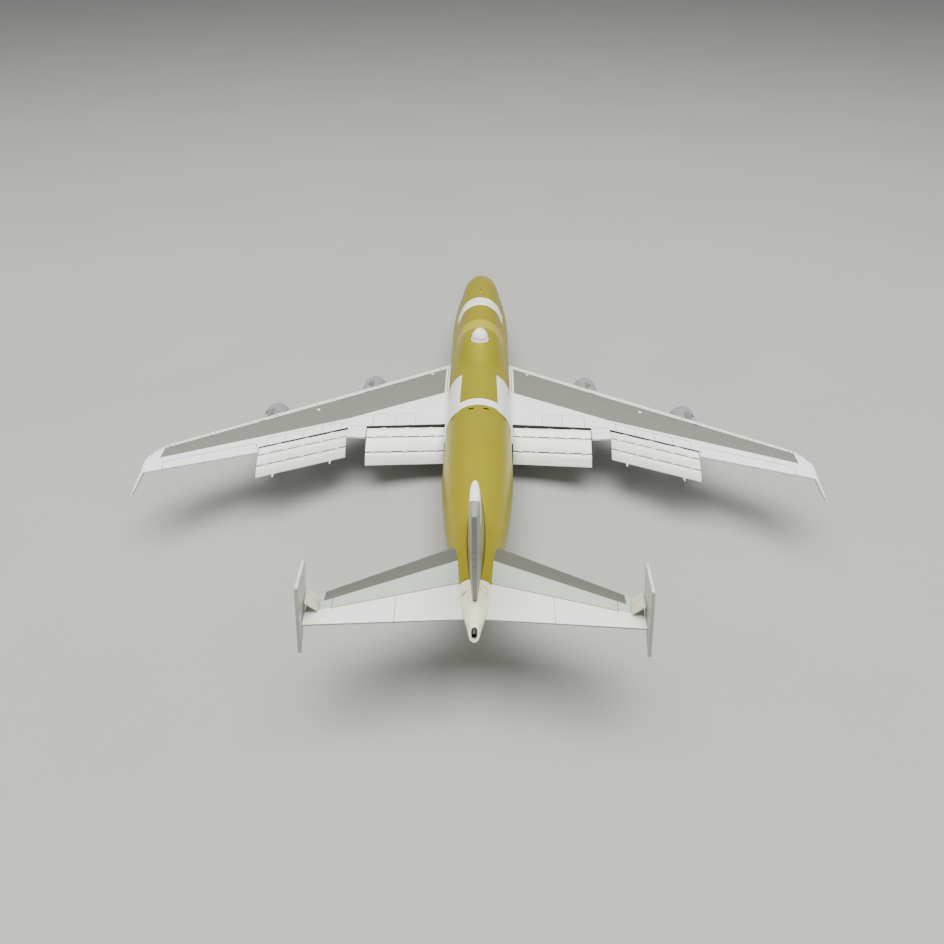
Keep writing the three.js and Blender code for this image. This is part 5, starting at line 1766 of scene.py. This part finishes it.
# ---------------- bogie beams
# Each four-wheel truck has a forged beam that tilts on the leg's pin, with a bored hub for each
# axle and for the pin, brake rods under it, and a grease nipple on each hub.

axle_steps = (-3.7, 0, 3.7)
beam_hub = [(0.05, -0.8), (1.35, -0.8), (1.5, -0.65), (1.5, 0.65), (1.35, 0.8), (0.05, 0.8)]
beam_bore = [(0.05, -3), (0.9, -3), (0.9, 3), (0.05, 3)]
for gear in ("wing", "body"):
    for hand in ("left", "right"):
        cad_node = f"{gear}_gear_bogie_{hand}"
        low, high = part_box(cad_node)
        middle = (low + high) / 2
        x, station, z = middle.x / MM, nose_y - middle.y / MM, middle.z / MM
        beam = box(x, station, z, 1.6, 7.4, 1.3, edge=0.25)
        for step in axle_steps:
            hub = turned("hub", beam_hub, at(x, station + step, z), "x", 40)
            cut(beam, hub, "UNION", 35)
        for step in axle_steps:
            bore = turned("bore", beam_bore, at(x, station + step, z), "x", 32)
            cut(beam, bore, sharp=35)
        rods, nipples = [], []
        for off in (-0.5, 0.5):
            start, end = (x + off, station - 3.2, z - 1.15), (x + off, station + 3.2, z - 1.15)
            rods.append(pod("rod", start, end, 0.16, 12))
        for step in (-3.4, 3.4):
            start, end = (x, station + step, z + 1.35), (x, station + step, z + 1.49)
            nipples.append(pod("nipple", start, end, 0.16, 12))
        truck = join(f"truck_{gear}_{hand}", [beam, *rods, *nipples])
        finish(truck, f"gear_silver_truck_{gear}_{hand}", "a3a5a2", 0.4, 0.6, None, grime=0.22)
        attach(truck, f"{gear}_bogie_{hand}")
        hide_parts(cad_node)

# ---------------- main gear legs
# Each leg is a cast strut plugged into the wing or belly: a thick cylinder over a bright piston, a
# fork with two cheeks that straddles the beam, a pin with a boss on each cheek, and torque links.

head = 6.4
pin_z = wheel_radius
piston_ends = (head + 1.42, head + 2.88)
cheek_x = 1.5
cheek_tall = head - pin_z + 1.0
boss = [(0.05, 0.3), (1.02, 0.3), (1.1, 0.2), (1.1, -0.3), (0.05, -0.3)]
pin = [(0.02, -1.85), (0.6, -1.85), (0.6, 1.85), (0.02, 1.85)]


def leg_marks(tree, place):
    return [(within(tree, place, up=piston_ends), "d4d4cf", 0.16, 0.95, 0)]


for gear in ("wing", "body"):
    for hand in ("left", "right"):
        cad_node = f"{gear}_gear_leg_{hand}"
        low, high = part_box(cad_node)
        x = (low.x + high.x) / 2 / MM
        station = nose_y - (low.y + high.y) / 2 / MM
        top = high.z / MM
        strut = [
            (0.05, top), (1.15, top), (1.3, top - 0.2), (1.3, head + 3.2), (1.22, head + 3.0),
            (1.0, head + 2.9), (1.0, head + 1.4), (1.2, head + 1.3), (1.3, head + 1.0),
            (1.3, head + 0.4), (0.05, head + 0.4),
        ]
        leg_parts = [turned("strut", strut, at(x, station, 0), "z", 48, 35)]
        leg_parts.append(box(x, station, head + 0.7, 3.7, 2.6, 1.4, edge=0.25))
        for cheek in (-1, 1):
            middle_z = (pin_z + head) / 2 + 0.3
            cheek_place = (x + cheek * cheek_x, station, middle_z)
            leg_parts.append(box(*cheek_place, 0.78, 2.0, cheek_tall, edge=0.18))
            outward = [(radius, cheek * off) for radius, off in boss]
            boss_place = at(x + cheek * (cheek_x + 0.05), station, pin_z)
            leg_parts.append(turned("boss", outward, boss_place, "x", 40, 35))
        leg_parts.append(turned("pin", pin, at(x, station, pin_z), "x", 32, 35))
        for turn, z in ((38, head + 2.1), (-38, head + 3.3)):
            leg_parts.append(box(x, station + 1.25, z, 0.9, 0.3, 1.5, (turn, 0, 0), 0.08))
        leg = join(f"leg_{gear}_{hand}", leg_parts)
        finish(leg, f"gear_silver_leg_{gear}_{hand}", "a8aaa6", 0.4, 0.55, leg_marks, grime=0.2)
        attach(leg, "airframe")
        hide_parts(cad_node)

# ---------------- nose gear leg
# The nose leg turns in its pocket to steer. It is a slim turned strut with a bright piston, a collar
# with the steering horns, a sleeve for the axle, and torque links in front.

nose_top = gear_leg_high.z / MM
nose_strut = [
    (0.05, nose_top), (0.95, nose_top), (1.1, nose_top - 0.2), (1.1, 9.4), (1.3, 9.3),
    (1.3, 8.5), (1.1, 8.4), (1.0, 8.3), (0.8, 8.2), (0.8, 6.9), (1.15, 6.8), (1.5, 6.6),
    (1.55, 5.4), (1.4, 4.7), (1.1, 4.2), (0.05, 4.2),
]
nose_parts = [turned("strut", nose_strut, at(leg_x, leg_station, 0), "z", 48, 35)]
axle = at(leg_x, leg_station, first_middle.z / MM)
sleeve = [
    (0.92, -1.85), (1.35, -1.85), (1.5, -1.7), (1.5, 1.7), (1.35, 1.85), (0.92, 1.85), (0.92, -1.85),
]
nose_parts.append(turned("sleeve", sleeve, axle, "x", 40, 35, tube=True))
for turn, z in ((-36, 7.2), (36, 8.4)):
    nose_parts.append(box(leg_x, leg_station - 1.2, z, 0.8, 0.28, 1.5, (turn, 0, 0), 0.08))
for side in (-1, 1):
    start, end = (leg_x + side * 0.8, leg_station, 8.9), (leg_x + side * 1.85, leg_station, 8.9)
    nose_parts.append(pod("horn", start, end, 0.35, 16))
nose_leg = join("leg_nose", nose_parts)


def nose_leg_marks(tree, place):
    return [(within(tree, place, up=(6.95, 8.15)), "d4d4cf", 0.16, 0.95, 0)]


finish(nose_leg, "gear_silver_nose", "a8aaa6", 0.4, 0.55, nose_leg_marks, grime=0.2)
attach(nose_leg, "nose_steering")
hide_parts("nose_gear_leg")

# ---------------- bounds of the shown pieces
low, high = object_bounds()
